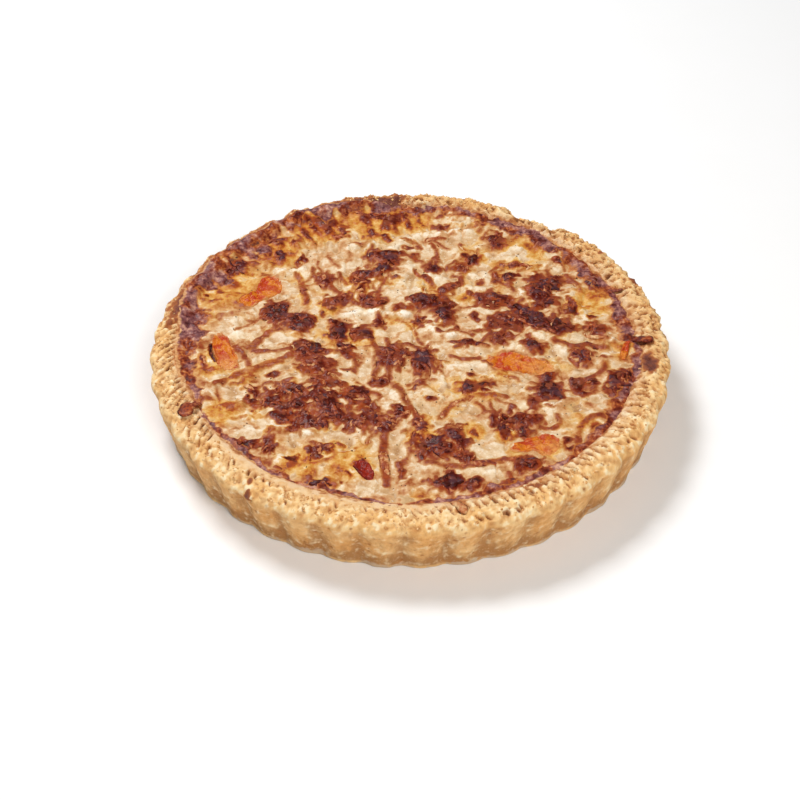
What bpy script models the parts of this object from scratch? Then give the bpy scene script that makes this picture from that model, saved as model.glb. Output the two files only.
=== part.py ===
"""A round quiche out of its tin: a fluted pastry crust, a baked custard filling whose skin laps
over part of the rim, and six pieces of salmon set into the custard's surface.

Run it with: blender --background --python part.py
Metres, +Z up. The origin is the middle of the base, on the surface that the quiche stands on.
"""

import math
from collections import namedtuple

import bmesh
import bpy
from mathutils import Matrix, Vector

# The whole quiche.
RIM_RADIUS = 0.130
BASE_RADIUS = 0.123
HEIGHT = 0.032

# The tin's flutes, as columns of the crust's mesh. The first crest past +X is at FLUTE_CREST.
FLUTES = 40
COLUMNS_PER_FLUTE = 5
CRUST_COLUMNS = FLUTES * COLUMNS_PER_FLUTE
FLUTE_CREST = math.radians(2.7)
FLUTE_DEPTH = 0.0024
VALLEY_SOFTNESS = 0.18

# The pressed rim is ridged across: every other column stands up by RIDGE_HEIGHT.
RIDGE_HEIGHT = 0.0004

# The rim's slow unevenness, as (waves round the quiche, size, phase).
RIM_HEIGHT_WAVES = ((4, 0.00025, 0.4), (7, 0.00020, 1.9), (12, 0.00015, 4.0))
RIM_RADIUS_WAVES = ((4, 0.00030, 1.0), (6, 0.00030, 2.2), (10, 0.00020, 0.3))

# The top of the crust, from its outer edge in to the lip where the custard starts.
RIM_EDGE_DROP = 0.0050
SHOULDER_RADIUS = 0.1280
SHOULDER_DROP = 0.0014
CREST_RADIUS = 0.1245
BROW_RADIUS = 0.1186
BROW_DROP = 0.0006
LIP_RADIUS = 0.1136
LIP_DROP = 0.0032

# The hollow that the custard fills. It lies off centre, so the rim is widest at the front.
OFF_CENTRE = 0.0045
INNER_WALL_RADIUS = 0.1115
INNER_WALL_HEIGHT = 0.020
INNER_FLOOR_RADIUS = 0.108
FLOOR_THICKNESS = 0.005

# The custard.
GAP = 0.00035
LAP_GAP = 0.0005
FILLING_COLUMNS = CRUST_COLUMNS // 2
CUSTARD_LEVEL = HEIGHT - 0.0026
SKIN_THICKNESS = 0.0007
SHORE_RADIUS = LIP_RADIUS - 0.009
FILLING_RINGS = 9

# How far the custard's edge reaches out: everywhere to EDGE_RADIUS, and over the rim where it
# boiled over, as (middle of the lap in degrees, half its width in degrees, reach past the edge).
EDGE_RADIUS = 0.1142
LAPS = ((131, 46, 0.0115), (176, 24, 0.0035), (72, 26, 0.0022), (-8, 12, 0.0022))

# Slow relief of the custard, as (direction in degrees, wavelength, size, phase).
RELIEF_WAVES = (
    (20, 0.061, 0.00035, 0.7),
    (95, 0.047, 0.00030, 2.1),
    (150, 0.038, 0.00025, 4.4),
    (55, 0.083, 0.00040, 5.2),
)

# Raised tangles of browned cheese, as (x, y, radius, height).
MOUNDS = (
    (-0.011, 0.069, 0.018, 0.0016),
    (0.013, 0.032, 0.015, 0.0016),
    (-0.006, -0.009, 0.017, 0.0020),
    (-0.050, -0.025, 0.026, 0.0015),
    (-0.045, 0.018, 0.024, 0.0012),
    (0.067, 0.040, 0.022, 0.0016),
    (0.078, 0.015, 0.020, 0.0012),
    (0.020, -0.067, 0.016, 0.0013),
    (0.060, -0.045, 0.020, 0.0013),
)

# Salmon pieces, as (x, y, length, width, thickness, direction in degrees, bend, height of the
# middle above the custard's level).
SALMON = (
    (-0.0775, 0.0465, 0.028, 0.0125, 0.0060, 50, -0.05, 0.0003),
    (-0.0935, -0.0030, 0.028, 0.0110, 0.0065, 104, 0.03, 0.0005),
    (0.0540, -0.0110, 0.033, 0.0120, 0.0060, -16, -0.02, 0.0002),
    (0.0600, -0.0685, 0.026, 0.0100, 0.0060, 22, 0.05, 0.0004),
    (-0.0220, -0.0870, 0.015, 0.0090, 0.0050, -52, 0.00, 0.0001),
    (0.1065, -0.0010, 0.018, 0.0050, 0.0045, 76, 0.03, 0.0001),
)
SALMON_SEGMENTS = 12
SALMON_RINGS = 7

# A circle of the crust's mesh. flute, ridge and shift are its shares of the flutes' depth, of
# the rim's ridges and of the hollow's distance off centre.
Ring = namedtuple("Ring", "radius height flute ridge shift")


def clear_scene():
    for obj in list(bpy.data.objects):
        bpy.data.objects.remove(obj)


def new_collection(name):
    collection = bpy.data.collections.new(name)
    bpy.context.scene.collection.children.link(collection)
    return collection


def smoothstep(low, high, value):
    share = min(max((value - low) / (high - low), 0.0), 1.0)
    return share * share * (3.0 - 2.0 * share)


def slow_waves(angle, waves):
    return sum(size * math.sin(count * angle + phase) for count, size, phase in waves)


def wall_radius(height):
    """The outside of the wall at the flutes' crests: it leans out from the base to the rim."""
    return BASE_RADIUS + (RIM_RADIUS - BASE_RADIUS) * (height / HEIGHT) ** 0.85


def crust_section():
    """The crust's section from the middle of its underside, out, up, over the rim and inside."""
    foot_lip = 0.0006
    return [
        Ring(0.0, 0.0, 0.0, 0.0, 0.0),
        Ring(BASE_RADIUS - 0.002, 0.0, 0.9, 0.0, 0.0),
        Ring(BASE_RADIUS + foot_lip, 0.0009, 0.9, 0.0, 0.0),
        Ring(BASE_RADIUS + foot_lip / 2, 0.0026, 0.9, 0.0, 0.0),
        Ring(wall_radius(0.014), 0.014, 1.0, 0.0, 0.0),
        Ring(RIM_RADIUS, HEIGHT - RIM_EDGE_DROP, 0.9, 0.2, 0.0),
        Ring(SHOULDER_RADIUS, HEIGHT - SHOULDER_DROP, 0.5, 0.8, 0.1),
        Ring(CREST_RADIUS, HEIGHT, 0.1, 1.0, 0.3),
        Ring(BROW_RADIUS, HEIGHT - BROW_DROP, 0.0, 0.8, 0.6),
        Ring(LIP_RADIUS, HEIGHT - LIP_DROP, 0.0, 0.0, 1.0),
        Ring(INNER_WALL_RADIUS, INNER_WALL_HEIGHT, 0.0, 0.0, 1.0),
        Ring(INNER_FLOOR_RADIUS, FLOOR_THICKNESS + 0.0005, 0.0, 0.0, 1.0),
        Ring(0.0, FLOOR_THICKNESS, 0.0, 0.0, 1.0),
    ]


def flute_valley(angle):
    """0 on a flute's crest and nearly 1 in the crease between two flutes."""
    swing = math.cos(FLUTES * (angle - FLUTE_CREST) / 2)
    return 1.0 - math.sqrt(swing * swing + VALLEY_SOFTNESS**2 * (1.0 - swing * swing))


def crust_point(ring, angle, side):
    """A point of the crust's surface. side is 1 on a ridge of the rim and -1 in a groove."""
    share = (ring.height / HEIGHT) ** 3
    radius = ring.radius - ring.flute * FLUTE_DEPTH * flute_valley(angle)
    if ring.flute:
        radius += share * slow_waves(angle, RIM_RADIUS_WAVES)
    height = ring.height + share * slow_waves(angle, RIM_HEIGHT_WAVES)
    height += side * ring.ridge * RIDGE_HEIGHT
    return off_centre(radius, angle, height, ring.shift)


def off_centre(radius, angle, height, shift):
    """The point at this radius and angle, moved back by its share of OFF_CENTRE."""
    x = radius * math.cos(angle)
    y = radius * math.sin(angle) + shift * OFF_CENTRE
    return Vector((x, y, height))


def edge_radius(angle):
    """Where the custard's edge lies: at the lip, or out over the rim where it boiled over."""
    reach = EDGE_RADIUS
    for middle, half_width, past in LAPS:
        turn = (math.degrees(angle) - middle + 180.0) % 360.0 - 180.0
        reach += past * smoothstep(half_width, half_width * 0.45, abs(turn))
    return reach


def top_rings():
    """The rings of the crust's top, from the shoulder in to the lip."""
    return [ring for ring in crust_section() if ring.height >= HEIGHT - LIP_DROP]


def on_rim(radius, angle):
    """The point on top of the crust's ridges, this far out between the lip and the shoulder."""
    rings = top_rings()
    for outer, inner in zip(rings, rings[1:]):
        if inner.radius <= radius:
            break
    share = (radius - inner.radius) / (outer.radius - inner.radius)
    return crust_point(inner, angle, 1).lerp(crust_point(outer, angle, 1), share)


def custard_top(x, y):
    """The custard's surface away from its edge."""
    height = CUSTARD_LEVEL
    for degrees, wavelength, size, phase in RELIEF_WAVES:
        along = x * math.cos(math.radians(degrees)) + y * math.sin(math.radians(degrees))
        height += size * math.sin(math.tau * along / wavelength + phase)
    for mound_x, mound_y, radius, rise in MOUNDS:
        away = math.hypot(x - mound_x, y - mound_y)
        height += rise * smoothstep(radius, 0.0, away)
    return height


def turned_object(name, sections, columns, place):
    """Spins a section of rings round +Z, then moves each point to place(ring number, angle)."""
    mesh = bpy.data.meshes.new(name)
    shape = bmesh.new()
    number = shape.verts.layers.int.new("ring")
    chain = []
    for index, (radius, height) in enumerate(sections):
        point = shape.verts.new((radius, 0.0, height))
        point[number] = index
        chain.append(point)
    chain_edges = [shape.edges.new(pair) for pair in zip(chain, chain[1:])]
    bmesh.ops.spin(
        shape,
        geom=chain + chain_edges,
        cent=(0, 0, 0),
        axis=(0, 0, 1),
        angle=math.tau,
        steps=columns,
        use_merge=True,
    )
    for point in shape.verts:
        on_axis = sections[point[number]][0] == 0.0
        angle = 0.0 if on_axis else math.atan2(point.co.y, point.co.x)
        point.co = place(point[number], angle)
    bmesh.ops.remove_doubles(shape, verts=shape.verts, dist=1e-6)
    bmesh.ops.recalc_face_normals(shape, faces=shape.faces)
    shape.to_mesh(mesh)
    shape.free()
    mesh.shade_smooth()
    mesh.set_sharp_from_angle(angle=math.radians(60))
    return bpy.data.objects.new(name, mesh)


def make_crust():
    rings = crust_section()

    def place(index, angle):
        column = round(angle / math.tau * CRUST_COLUMNS)
        return crust_point(rings[index], angle, 1 if column % 2 == 0 else -1)

    section = [(ring.radius, ring.height) for ring in rings]
    return turned_object("crust", section, CRUST_COLUMNS, place)


def make_filling():
    """A disc that fills the crust, with a thin skin lapping up over the rim."""
    inside = SHORE_RADIUS * (1.0 - 0.5 / FILLING_RINGS)
    surface = [(inside * step / FILLING_RINGS, CUSTARD_LEVEL) for step in range(FILLING_RINGS + 1)]
    shore = [(SHORE_RADIUS + 0.004, CUSTARD_LEVEL), (EDGE_RADIUS, CUSTARD_LEVEL)]
    lap = [(ring.radius, ring.height) for ring in top_rings()]
    under = [
        (INNER_WALL_RADIUS - GAP, INNER_WALL_HEIGHT),
        (INNER_FLOOR_RADIUS - GAP, FLOOR_THICKNESS + 0.0005 + GAP),
        (0.0, FLOOR_THICKNESS + GAP),
    ]
    section = surface + shore + lap + under
    first_shore = len(surface)
    first_lap = first_shore + len(shore)
    first_under = first_lap + len(lap)

    def place(index, angle):
        radius, height = section[index]
        edge = edge_radius(angle)
        if index >= first_under:
            return off_centre(radius, angle, height, 1.0)
        if index >= first_lap:
            return on_rim(min(radius, edge), angle) + Vector((0.0, 0.0, LAP_GAP))
        edge_point = on_rim(edge, angle) + Vector((0.0, 0.0, LAP_GAP + SKIN_THICKNESS))
        if index == first_shore + 1:
            return edge_point
        if index == first_shore:
            point = edge_point.lerp(off_centre(SHORE_RADIUS, angle, height, 1.0), 0.5)
        else:
            point = off_centre(radius, angle, height, 1.0)
        climb = smoothstep(SHORE_RADIUS, edge, (point.xy - Vector((0.0, OFF_CENTRE))).length)
        level = custard_top(point.x, point.y)
        point.z = level + climb * (edge_point.z - level)
        return point

    return turned_object("filling", section, FILLING_COLUMNS, place)


def make_salmon(name, length, width, thickness, bend, grow):
    """A flake with blunt ends, bent sideways, a little thicker at one end; grow swells it."""
    mesh = bpy.data.meshes.new(name)
    shape = bmesh.new()
    bmesh.ops.create_uvsphere(
        shape, u_segments=SALMON_SEGMENTS, v_segments=SALMON_RINGS, radius=1.0
    )
    bmesh.ops.rotate(shape, verts=shape.verts, matrix=Matrix.Rotation(math.pi / 2, 3, "Y"))
    for point in shape.verts:
        along = math.copysign(abs(point.co.x) ** 0.8, point.co.x)
        fuller = 1.0 + 0.12 * along + 0.08 * math.sin(5.0 * along + length * 900)
        point.co.x = along * (length / 2 + grow)
        point.co.y = point.co.y * (width / 2 * fuller + grow) + bend * length * (1 - along**2)
        point.co.z = point.co.z * (thickness / 2 * fuller + grow)
    shape.to_mesh(mesh)
    shape.free()
    mesh.shade_smooth()
    return bpy.data.objects.new(name, mesh)


def add_salmon(filling, parts, cutters):
    for number, (x, y, length, width, thickness, degrees, bend, lift) in enumerate(SALMON, 1):
        piece = make_salmon(f"salmon_{number}", length, width, thickness, bend, 0.0)
        pocket = make_salmon(f"pocket_{number}", length, width, thickness, bend, GAP)
        for obj in (piece, pocket):
            obj.location = (x, y, CUSTARD_LEVEL + lift)
            obj.rotation_euler = (0.0, 0.0, math.radians(degrees))
        parts.objects.link(piece)
        cutters.objects.link(pocket)
        pocket.hide_render = True
        pocket.display_type = "WIRE"
        cut = filling.modifiers.new(f"pocket {number}", "BOOLEAN")
        cut.operation = "DIFFERENCE"
        cut.solver = "EXACT"
        cut.object = pocket
        piece.data.materials.append(salmon_material())


def material(name, color, roughness):
    made = bpy.data.materials.get(name)
    if made:
        return made
    made = bpy.data.materials.new(name)
    made.use_nodes = True
    shader = made.node_tree.nodes["Principled BSDF"]
    shader.inputs["Base Color"].default_value = (*color, 1.0)
    shader.inputs["Roughness"].default_value = roughness
    shader.inputs["Metallic"].default_value = 0.0
    return made


def crust_material():
    return material("baked_pastry", (0.62, 0.32, 0.12), 0.8)


def custard_material():
    return material("baked_custard", (0.60, 0.40, 0.22), 0.45)


def salmon_material():
    return material("cooked_salmon", (0.58, 0.16, 0.045), 0.4)


def main():
    clear_scene()
    parts = new_collection("quiche")
    cutters = new_collection("cutters")
    crust = make_crust()
    crust.data.materials.append(crust_material())
    parts.objects.link(crust)
    filling = make_filling()
    filling.data.materials.append(custard_material())
    parts.objects.link(filling)
    add_salmon(filling, parts, cutters)


main()
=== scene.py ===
"""The looks of a baked quiche: a fluted, crumbly crust, a browned custard whose skin laps over
the rim, melted shreds of cheese, six pieces of salmon, crumbs and herb specks.

Lengths here are in millimetres, and MM turns them into the frame's metres. +Z is up, the front
is -Y, and the middle of the base is the origin. Angles run anticlockwise from +X: in degrees in
the lists below and in radians inside the functions.
"""

import math

import bpy
import numpy as np
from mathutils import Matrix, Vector


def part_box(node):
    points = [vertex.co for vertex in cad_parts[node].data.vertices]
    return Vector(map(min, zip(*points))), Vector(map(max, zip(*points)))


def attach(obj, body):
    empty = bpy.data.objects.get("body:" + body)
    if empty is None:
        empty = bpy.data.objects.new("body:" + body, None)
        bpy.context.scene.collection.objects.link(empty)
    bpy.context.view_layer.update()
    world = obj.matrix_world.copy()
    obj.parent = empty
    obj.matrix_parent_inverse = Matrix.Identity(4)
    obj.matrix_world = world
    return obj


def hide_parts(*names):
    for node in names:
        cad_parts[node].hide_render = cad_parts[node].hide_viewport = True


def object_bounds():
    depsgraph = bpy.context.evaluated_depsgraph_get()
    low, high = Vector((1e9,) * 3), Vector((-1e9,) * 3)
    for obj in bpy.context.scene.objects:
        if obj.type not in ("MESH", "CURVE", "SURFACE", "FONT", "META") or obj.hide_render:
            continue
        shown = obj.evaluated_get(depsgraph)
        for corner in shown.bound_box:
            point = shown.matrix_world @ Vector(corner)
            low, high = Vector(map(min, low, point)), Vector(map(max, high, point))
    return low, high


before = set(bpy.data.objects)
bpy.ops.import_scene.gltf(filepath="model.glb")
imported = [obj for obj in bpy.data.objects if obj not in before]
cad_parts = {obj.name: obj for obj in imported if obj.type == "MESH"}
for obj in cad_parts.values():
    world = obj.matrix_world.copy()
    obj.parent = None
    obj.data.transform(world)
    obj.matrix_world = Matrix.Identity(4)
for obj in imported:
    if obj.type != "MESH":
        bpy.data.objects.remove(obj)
CAD_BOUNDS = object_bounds()
CRUST_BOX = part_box("crust")
CRUST_WIDTH = 260.4
MM = (CRUST_BOX[1].x - CRUST_BOX[0].x) / CRUST_WIDTH
BAKE_MAP = "OFBake"

# ---------------------------------------------------------------- sizes shared with the CAD
HEIGHT = 32.0
FLUTES = 40
FLUTE_CREST = 2.7
FLUTE_DEPTH = 2.4
VALLEY_SOFTNESS = 0.18
OFF_CENTRE = 4.5
# Waves round the rim, as (count, size, phase).
RIM_HEIGHT_WAVES = ((4, 0.25, 0.4), (7, 0.20, 1.9), (12, 0.15, 4.0))
RIM_RADIUS_WAVES = ((4, 0.30, 1.0), (6, 0.30, 2.2), (10, 0.20, 0.3))
CUSTARD_LEVEL = 29.4
SHORE_RADIUS = 104.6
EDGE_RADIUS = 114.2
RIM_START = EDGE_RADIUS - 0.6
MOST_REACH = 127.6
# Where the custard's skin reaches further out, as (angle, half width, how far).
LAPS = ((131, 46, 11.5), (176, 24, 3.5), (72, 26, 2.2), (-8, 12, 2.2))
# Slow waves of the custard, as (direction, length, height, phase).
RELIEF_WAVES = ((20, 61, 0.35, 0.7), (95, 47, 0.30, 2.1), (150, 38, 0.25, 4.4), (55, 83, 0.40, 5.2))
# Its mounds, as (x, y, radius, height).
MOUNDS = (
    (-11, 69, 18, 1.6), (13, 32, 15, 1.6), (-6, -9, 17, 2.0), (-50, -25, 26, 1.5), (-45, 18, 24, 1.2),
    (67, 40, 22, 1.6), (78, 15, 20, 1.2), (20, -67, 16, 1.3), (60, -45, 20, 1.3),
)

# The crust's section from under the base, out, up the wall, over the rim and down inside, as
# (radius, height, share of the flutes' depth, share of OFF_CENTRE).
CRUST_SECTION = (
    (121.0, 0.0, 0.9, 0.0), (123.4, 0.5, 0.9, 0.0), (123.5, 1.8, 0.9, 0.0), (123.7, 3.2, 0.9, 0.0),
    (126.5, 14.0, 1.0, 0.0), (129.2, 24.5, 0.9, 0.0), (129.9, 27.6, 0.9, 0.0),
    (128.6, 30.4, 0.8, 0.1), (124.6, 32.0, 0.4, 0.3), (118.7, 31.5, 0.05, 0.6),
    (113.6, 28.9, 0.0, 1.0), (112.2, 26.0, 0.0, 1.0), (111.5, 20.0, 0.0, 1.0),
)
LIP_RADIUS, LIP_HEIGHT = 113.6, 28.9
RIM_MIDDLE = 121.0

# The custard's hidden wall under its edge, as (radius, height), and how thick its edge is.
HIDDEN_WALL = ((111.8, 26.0), (111.0, 20.6))
EDGE_THICKNESS = 1.3

# Where round the quiche its rim and its skin change, in degrees.
FRONT_LEFT, FRONT, FRONT_RIGHT, RIGHT = -140, -112, -50, 8
CRUMBLIEST, BACK_RIGHT, BROKEN = 35, 42, 57.5
BACK, LAPPED, BACK_LEFT, WIDEST_CRIMPS, LEFT = 105, 131, 132, 185, 190

# The radii of the circles that noise round the quiche is read on: the larger, the finer.
SKIN_RING, EDGE_RING = 105, 60

# How finely the meshes are divided.
CRUST_COLUMNS = 1400
CRUST_BANDS = 66
COLUMN_GAP = 0.58
CUSTARD_SIDE = 300
FLAKE_RINGS, FLAKE_SIDES = 43, 132
SHRED_STEPS, SHRED_SIDES = 12, 6

CRIMPS = 172
HOLES = 700
HERBS = 420
CRUMBS = 1500
FAR_OUTSIDE = -9.0
SLIT_SEED, SHRED_SEED, SHRED_SIZE_SEED = 41, 7, 8
HERB_SEED, HERB_SHAPE_SEED, CRUMB_SEED, CRUMB_SHAPE_SEED = 19, 20, 23, 24

# ------------------------------------------------------- where the cheese browned
# Browned patches of the custard, as (x, y, width, height, turned by, darkness from 0 to 1).
PATCHES = (
    # back left
    (-68, 75, 6, 9, 0, 0.9), (-61, 87, 5, 4, 0, 0.8), (-73, 88, 5, 4, 20, 0.6),
    (-91, 66, 16, 12, 40, 0.7), (-38, 95, 7, 14, -10, 0.6), (-45, 55, 10, 11, 0, 0.6),
    # back
    (-10, 73, 15, 12, 0, 0.8), (-20, 76, 10, 8, 0, 0.8), (-18, 62, 24, 9, 22, 0.9),
    (-27, 54, 11, 11, 0, 0.7), (-25, 45, 4, 12, 5, 0.5), (12, 65, 10, 10, 0, 1.0),
    (12, 90, 6, 3, 10, 0.6), (10, 54, 4, 11, 25, 0.5), (27, 66, 8, 10, 0, 0.5),
    (24, 54, 5, 14, -20, 0.5), (17, 45, 7, 8, 0, 0.7), (33, 74, 8, 8, 0, 0.9),
    (-22, 111, 13, 6, -8, 0.6), (15, 101, 6, 4, 0, 0.6),
    # back right
    (47, 88, 10, 13, 20, 0.9), (75, 85, 9, 10, 30, 0.9), (78, 70, 8, 6, 0, 0.7),
    (53, 58, 9, 8, 0, 0.8), (65, 57, 6, 8, 0, 0.4), (71, 48, 25, 14, 57, 0.95),
    (95, 53, 10, 17, 20, 0.8), (57, 67, 17, 4, -5, 0.6), (46, 57, 4, 13, 5, 0.6),
    # left
    (-104, 40, 6, 6, 0, 0.7), (-103, -12, 4, 12, 10, 0.3), (-68, 28, 14, 18, 0, 0.9),
    (-55, 20, 17, 16, 0, 0.7), (-51, -1, 18, 14, 0, 0.7), (-47, -14, 19, 13, 0, 0.4),
    (-78, -35, 6, 22, 5, 0.6),
    # centre
    (-20, 38, 12, 13, 0, 0.5), (-36, 38, 6, 16, -45, 0.5), (-43, 34, 5, 14, 0, 0.3),
    (-16, 21, 8, 8, 0, 0.5), (-5, 31, 8, 6, 10, 0.35), (8, 36, 17, 12, 0, 1.0),
    (18, 28, 12, 17, 0, 0.9), (5, 21, 10, 9, 30, 0.7), (27, 4, 15, 8, -10, 0.8),
    (14, -12, 7, 4, 0, 0.4), (28, -28, 9, 9, 0, 0.8), (37, -27, 8, 8, 0, 0.8),
    (6, -9, 13, 18, 0, 1.0), (-9, -5, 14, 19, 0, 0.42), (-16, -24, 9, 8, 0, 0.8),
    (-36, 15, 12, 17, 0, 0.9), (-24, 12, 10, 12, 0, 0.8), (-32, 0, 10, 12, 0, 0.7),
    (-42, -28, 17, 13, 0, 0.5), (-26, -35, 12, 17, 0, 0.6),
    # right
    (42, 39, 20, 12, -10, 0.6), (63, 23, 34, 12, -42, 0.95), (67, 38, 12, 20, 0, 0.7),
    (76, 15, 14, 14, 0, 0.9), (82, 33, 8, 14, 0, 0.4), (93, 15, 12, 11, 0, 0.6),
    (85, -7, 9, 13, 0, 0.6), (48, 18, 18, 22, 0, 0.4), (44, 7, 8, 6, 0, 0.7),
    (34, 24, 5, 6, 0, 0.6), (62, 0, 9, 11, 0, 0.8), (103, -27, 15, 22, -20, 0.8),
    (85, -28, 12, 14, 20, 0.6), (68, -31, 13, 24, 5, 1.0),
    # front left
    (-78, -69, 14, 7, 15, 1.0), (-67, -71, 5, 16, 0, 0.5), (-56, -60, 9, 6, 0, 0.3),
    (-44, -74, 14, 11, 0, 0.45), (-50, -43, 50, 30, -15, 0.6), (-27, -50, 22, 20, 0, 0.5),
    (-43, -95, 15, 7, 5, 1.0), (-31, -93, 5, 10, 0, 0.7), (-64, -91, 8, 4, -30, 0.5),
    # front
    (-4, -47, 8, 7, 0, 0.8), (-12, -56, 14, 11, 0, 0.5), (4, -61, 10, 18, 0, 0.35),
    (15, -69, 27, 17, 0, 0.7), (25, -79, 9, 8, 0, 0.5), (-5, -88, 4, 10, 0, 0.5),
    (55, -84, 13, 8, 10, 0.9), (18, -96, 15, 14, 0, 0.8), (30, -97, 9, 8, 0, 0.7),
    # front right
    (50, -54, 25, 12, 5, 0.6), (54, -62, 8, 8, 0, 0.8), (60, -42, 6, 9, 0, 0.6),
    (77, -68, 9, 9, 0, 0.8), (45, -99, 12, 5, 20, 0.7),
)

# Where the custard shows pale through a tangle, as (x, y, width, height).
PALE_HOLES = (
    (-66, 7, 11, 6), (-74, -7, 9, 4), (-69, -27, 7, 10), (-86, -30, 12, 10),
    (-69, -46, 9, 6), (-47, -47, 6, 9), (-32, -40, 7, 4), (57, 78, 12, 8), (10, -1, 8, 6),
    (-59, -37, 6, 4), (-42, -33, 5, 3), (-36, -53, 7, 3), (-56, -52, 6, 3), (-27, -47, 5, 4),
    (-63, -57, 7, 3), (-24, -38, 4, 3), (-51, -33, 4, 3), (-50, 8, 6, 3), (-40, -6, 6, 4),
    (-33, -16, 5, 4), (66, 17, 5, 3), (82, 25, 5, 4), (52, 12, 6, 3), (-20, -14, 4, 5),
    (73, -25, 5, 4), (92, -17, 4, 4), (13, -64, 6, 3), (70, 43, 4, 4), (60, 52, 5, 3),
    (-60, 27, 5, 3), (26, 60, 5, 3), (-20, 64, 5, 3), (-13, -53, 5, 3), (38, 44, 6, 3),
)

# Shreds that lie apart from the tangles, as (width, tone, points of the middle line ...). The
# tone goes from 0 for pale cheese to 1 for burnt cheese.
LONG_SHREDS = (
    (3.4, 0.42, (-59, 60), (-56, 50), (-53, 36)),
    (2.6, 0.40, (-51, 66), (-50, 59), (-47, 52)),
    (3.4, 0.46, (-45, 54), (-38, 46), (-33, 41), (-28, 36)),
    (2.4, 0.22, (-11, 60), (-14, 51), (-17, 42)),
    (2.6, 0.42, (-37, 60), (-36, 56), (-33, 51)),
    (2.2, 0.16, (-12, 25), (-5, 22), (0, 18), (3, 12), (5, 5), (8, 1)),
    (3.6, 0.36, (14, -52), (20, -43), (28, -37), (36, -34), (47, -36)),
    (3.8, 0.34, (-8, -26), (-4, -34), (0, -45), (4, -52), (6, -58)),
    (4.2, 0.38, (-12, -60), (-13, -74), (-12, -86), (-11, -97)),
    (3.8, 0.48, (8, -82), (20, -85), (32, -84), (45, -81), (57, -79)),
    (3.4, 0.48, (80, -68), (81, -58), (86, -52), (93, -50)),
    (3.4, 0.40, (-96, -27), (-88, -21), (-80, -17), (-68, -10), (-60, -6)),
    (3.0, 0.44, (-90, -22), (-82, -20), (-74, -15), (-64, -11)),
    (2.8, 0.42, (-87, 2), (-83, -6), (-80, -13), (-79, -20)),
    (3.4, 0.42, (-82, 0), (-75, 8), (-69, 15), (-61, 21)),
    (2.8, 0.44, (-79, -2), (-70, -3), (-61, -1)),
    (3.2, 0.56, (73, 5), (82, 1), (90, 3), (99, 0)),
    (3.4, 0.60, (86, 2), (87, -5), (89, -12)),
    (2.6, 0.36, (83, 57), (87, 52), (89, 46)),
    (2.8, 0.46, (62, -57), (68, -58), (72, -55), (71, -50)),
    (2.8, 0.36, (32, -41), (37, -47), (45, -50)),
    (2.4, 0.34, (20, -6), (27, -8), (34, -7)),
    (2.8, 0.42, (-30, -3), (-27, -10), (-28, -18)),
    (3.0, 0.50, (-20, 9), (-17, 0), (-15, -10), (-18, -20)),
    (3.0, 0.56, (-12, 8), (-9, -3), (-11, -12), (-10, -21)),
    (2.6, 0.60, (-7, 3), (0, 3), (6, -2), (8, -10), (3, -17)),
    (2.8, 0.44, (-5, 4), (-3, -4), (-5, -11), (-6, -17)),
    (2.8, 0.46, (97, -12), (95, -18), (88, -23), (81, -24)),
    (2.8, 0.40, (43, 62), (47, 67), (57, 68), (64, 65)),
    (2.8, 0.40, (44, 61), (46, 54), (52, 49), (54, 44)),
    (2.4, 0.20, (-95, -30), (-93, -40), (-92, -50)),
    (2.4, 0.14, (-36, -76), (-29, -75), (-19, -69)),
    (3.4, 0.44, (-30, -44), (-26, -56), (-20, -60), (-12, -58)),
    (3.0, 0.50, (50, 28), (58, 21), (66, 15), (75, 9)),
    (3.4, 0.52, (54, 30), (62, 27), (68, 20), (72, 12)),
    (3.0, 0.40, (-77, 3), (-71, 11), (-63, 17)),
    (1.3, 1.15, (17, -57.4), (21, -56.6), (25, -57.6)),
)

# Shreds that baked onto the rim, in the same form.
RIM_SHREDS = (
    (6.6, 0.50, (-103, -38), (-107, -46), (-109, -55)),
    (4.6, 0.30, (19, -107), (22, -113), (25, -119)),
    (5.0, 0.62, (111, 8), (116, 5), (121, 1)),
    (3.6, 0.56, (110, 44), (105, 47), (101, 51)),
)

# Where custard boiled onto the rim and browned, as (x, y, width, height, how dark).
RIM_STAINS = (
    (-122, 17, 5, 8, 0.5), (119, -13, 9, 18, 0.9), (118, 3, 9, 8, 0.8), (-76, -104, 6, 4, 0.8),
    (-75, -97, 3, 5, 0.6), (117, 53, 8, 9, 0.7), (-104, -42, 5, 10, 0.5), (22, -112, 4, 9, 0.6),
    (57, -99, 15, 4, 0.6), (96, 86, 3, 3, 0.6), (101, 75, 4, 4, 0.6),
)

# Small blisters, as (x, y, radius).
BLISTERS = (
    (-2, 83, 2.0), (3, 85, 1.6), (14, 74, 1.6), (20, 102, 2.2), (-98, 46, 2.2), (-79, 82, 2.4),
    (-73, 68, 2.0), (14, 13, 2.0), (2, -29, 1.8), (7, -27, 1.5), (11, -38, 1.8), (30, -18, 1.8),
    (18, -36, 0.9), (26, -57, 1.2), (39, -53, 2.2), (48, -44, 2.2), (31, -61, 2.2), (5, -78, 2.6),
    (-33, -71, 2.4), (89, -58, 2.0), (94, 26, 2.4), (31, 44, 1.8), (36, 54, 2.0), (-7, 58, 1.8),
    (-68, -20, 2.2), (-55, -79, 3.4), (45, -62, 2.6), (24, 15, 2.4), (-57, 72, 4.5),
    (-48, 106, 4.0), (-12, 108, 3.0), (-22, 94, 3.6), (-13, 92, 2.6), (3, 76, 2.2),
)

# How wide the dark skin along the custard's edge is, as (angle, width).
SKIN_WIDTHS = (
    (-180, 8), (-168, 5.5), (-155, 2.2), (-140, 3.2), (-120, 2.6), (-90, 2.0), (-65, 2.8),
    (-45, 3.2), (-30, 6), (-10, 5), (0, 6), (15, 6), (35, 7), (55, 7), (70, 6), (85, 7), (100, 9),
    (115, 12), (130, 14), (145, 14), (160, 12), (180, 9),
)

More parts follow.
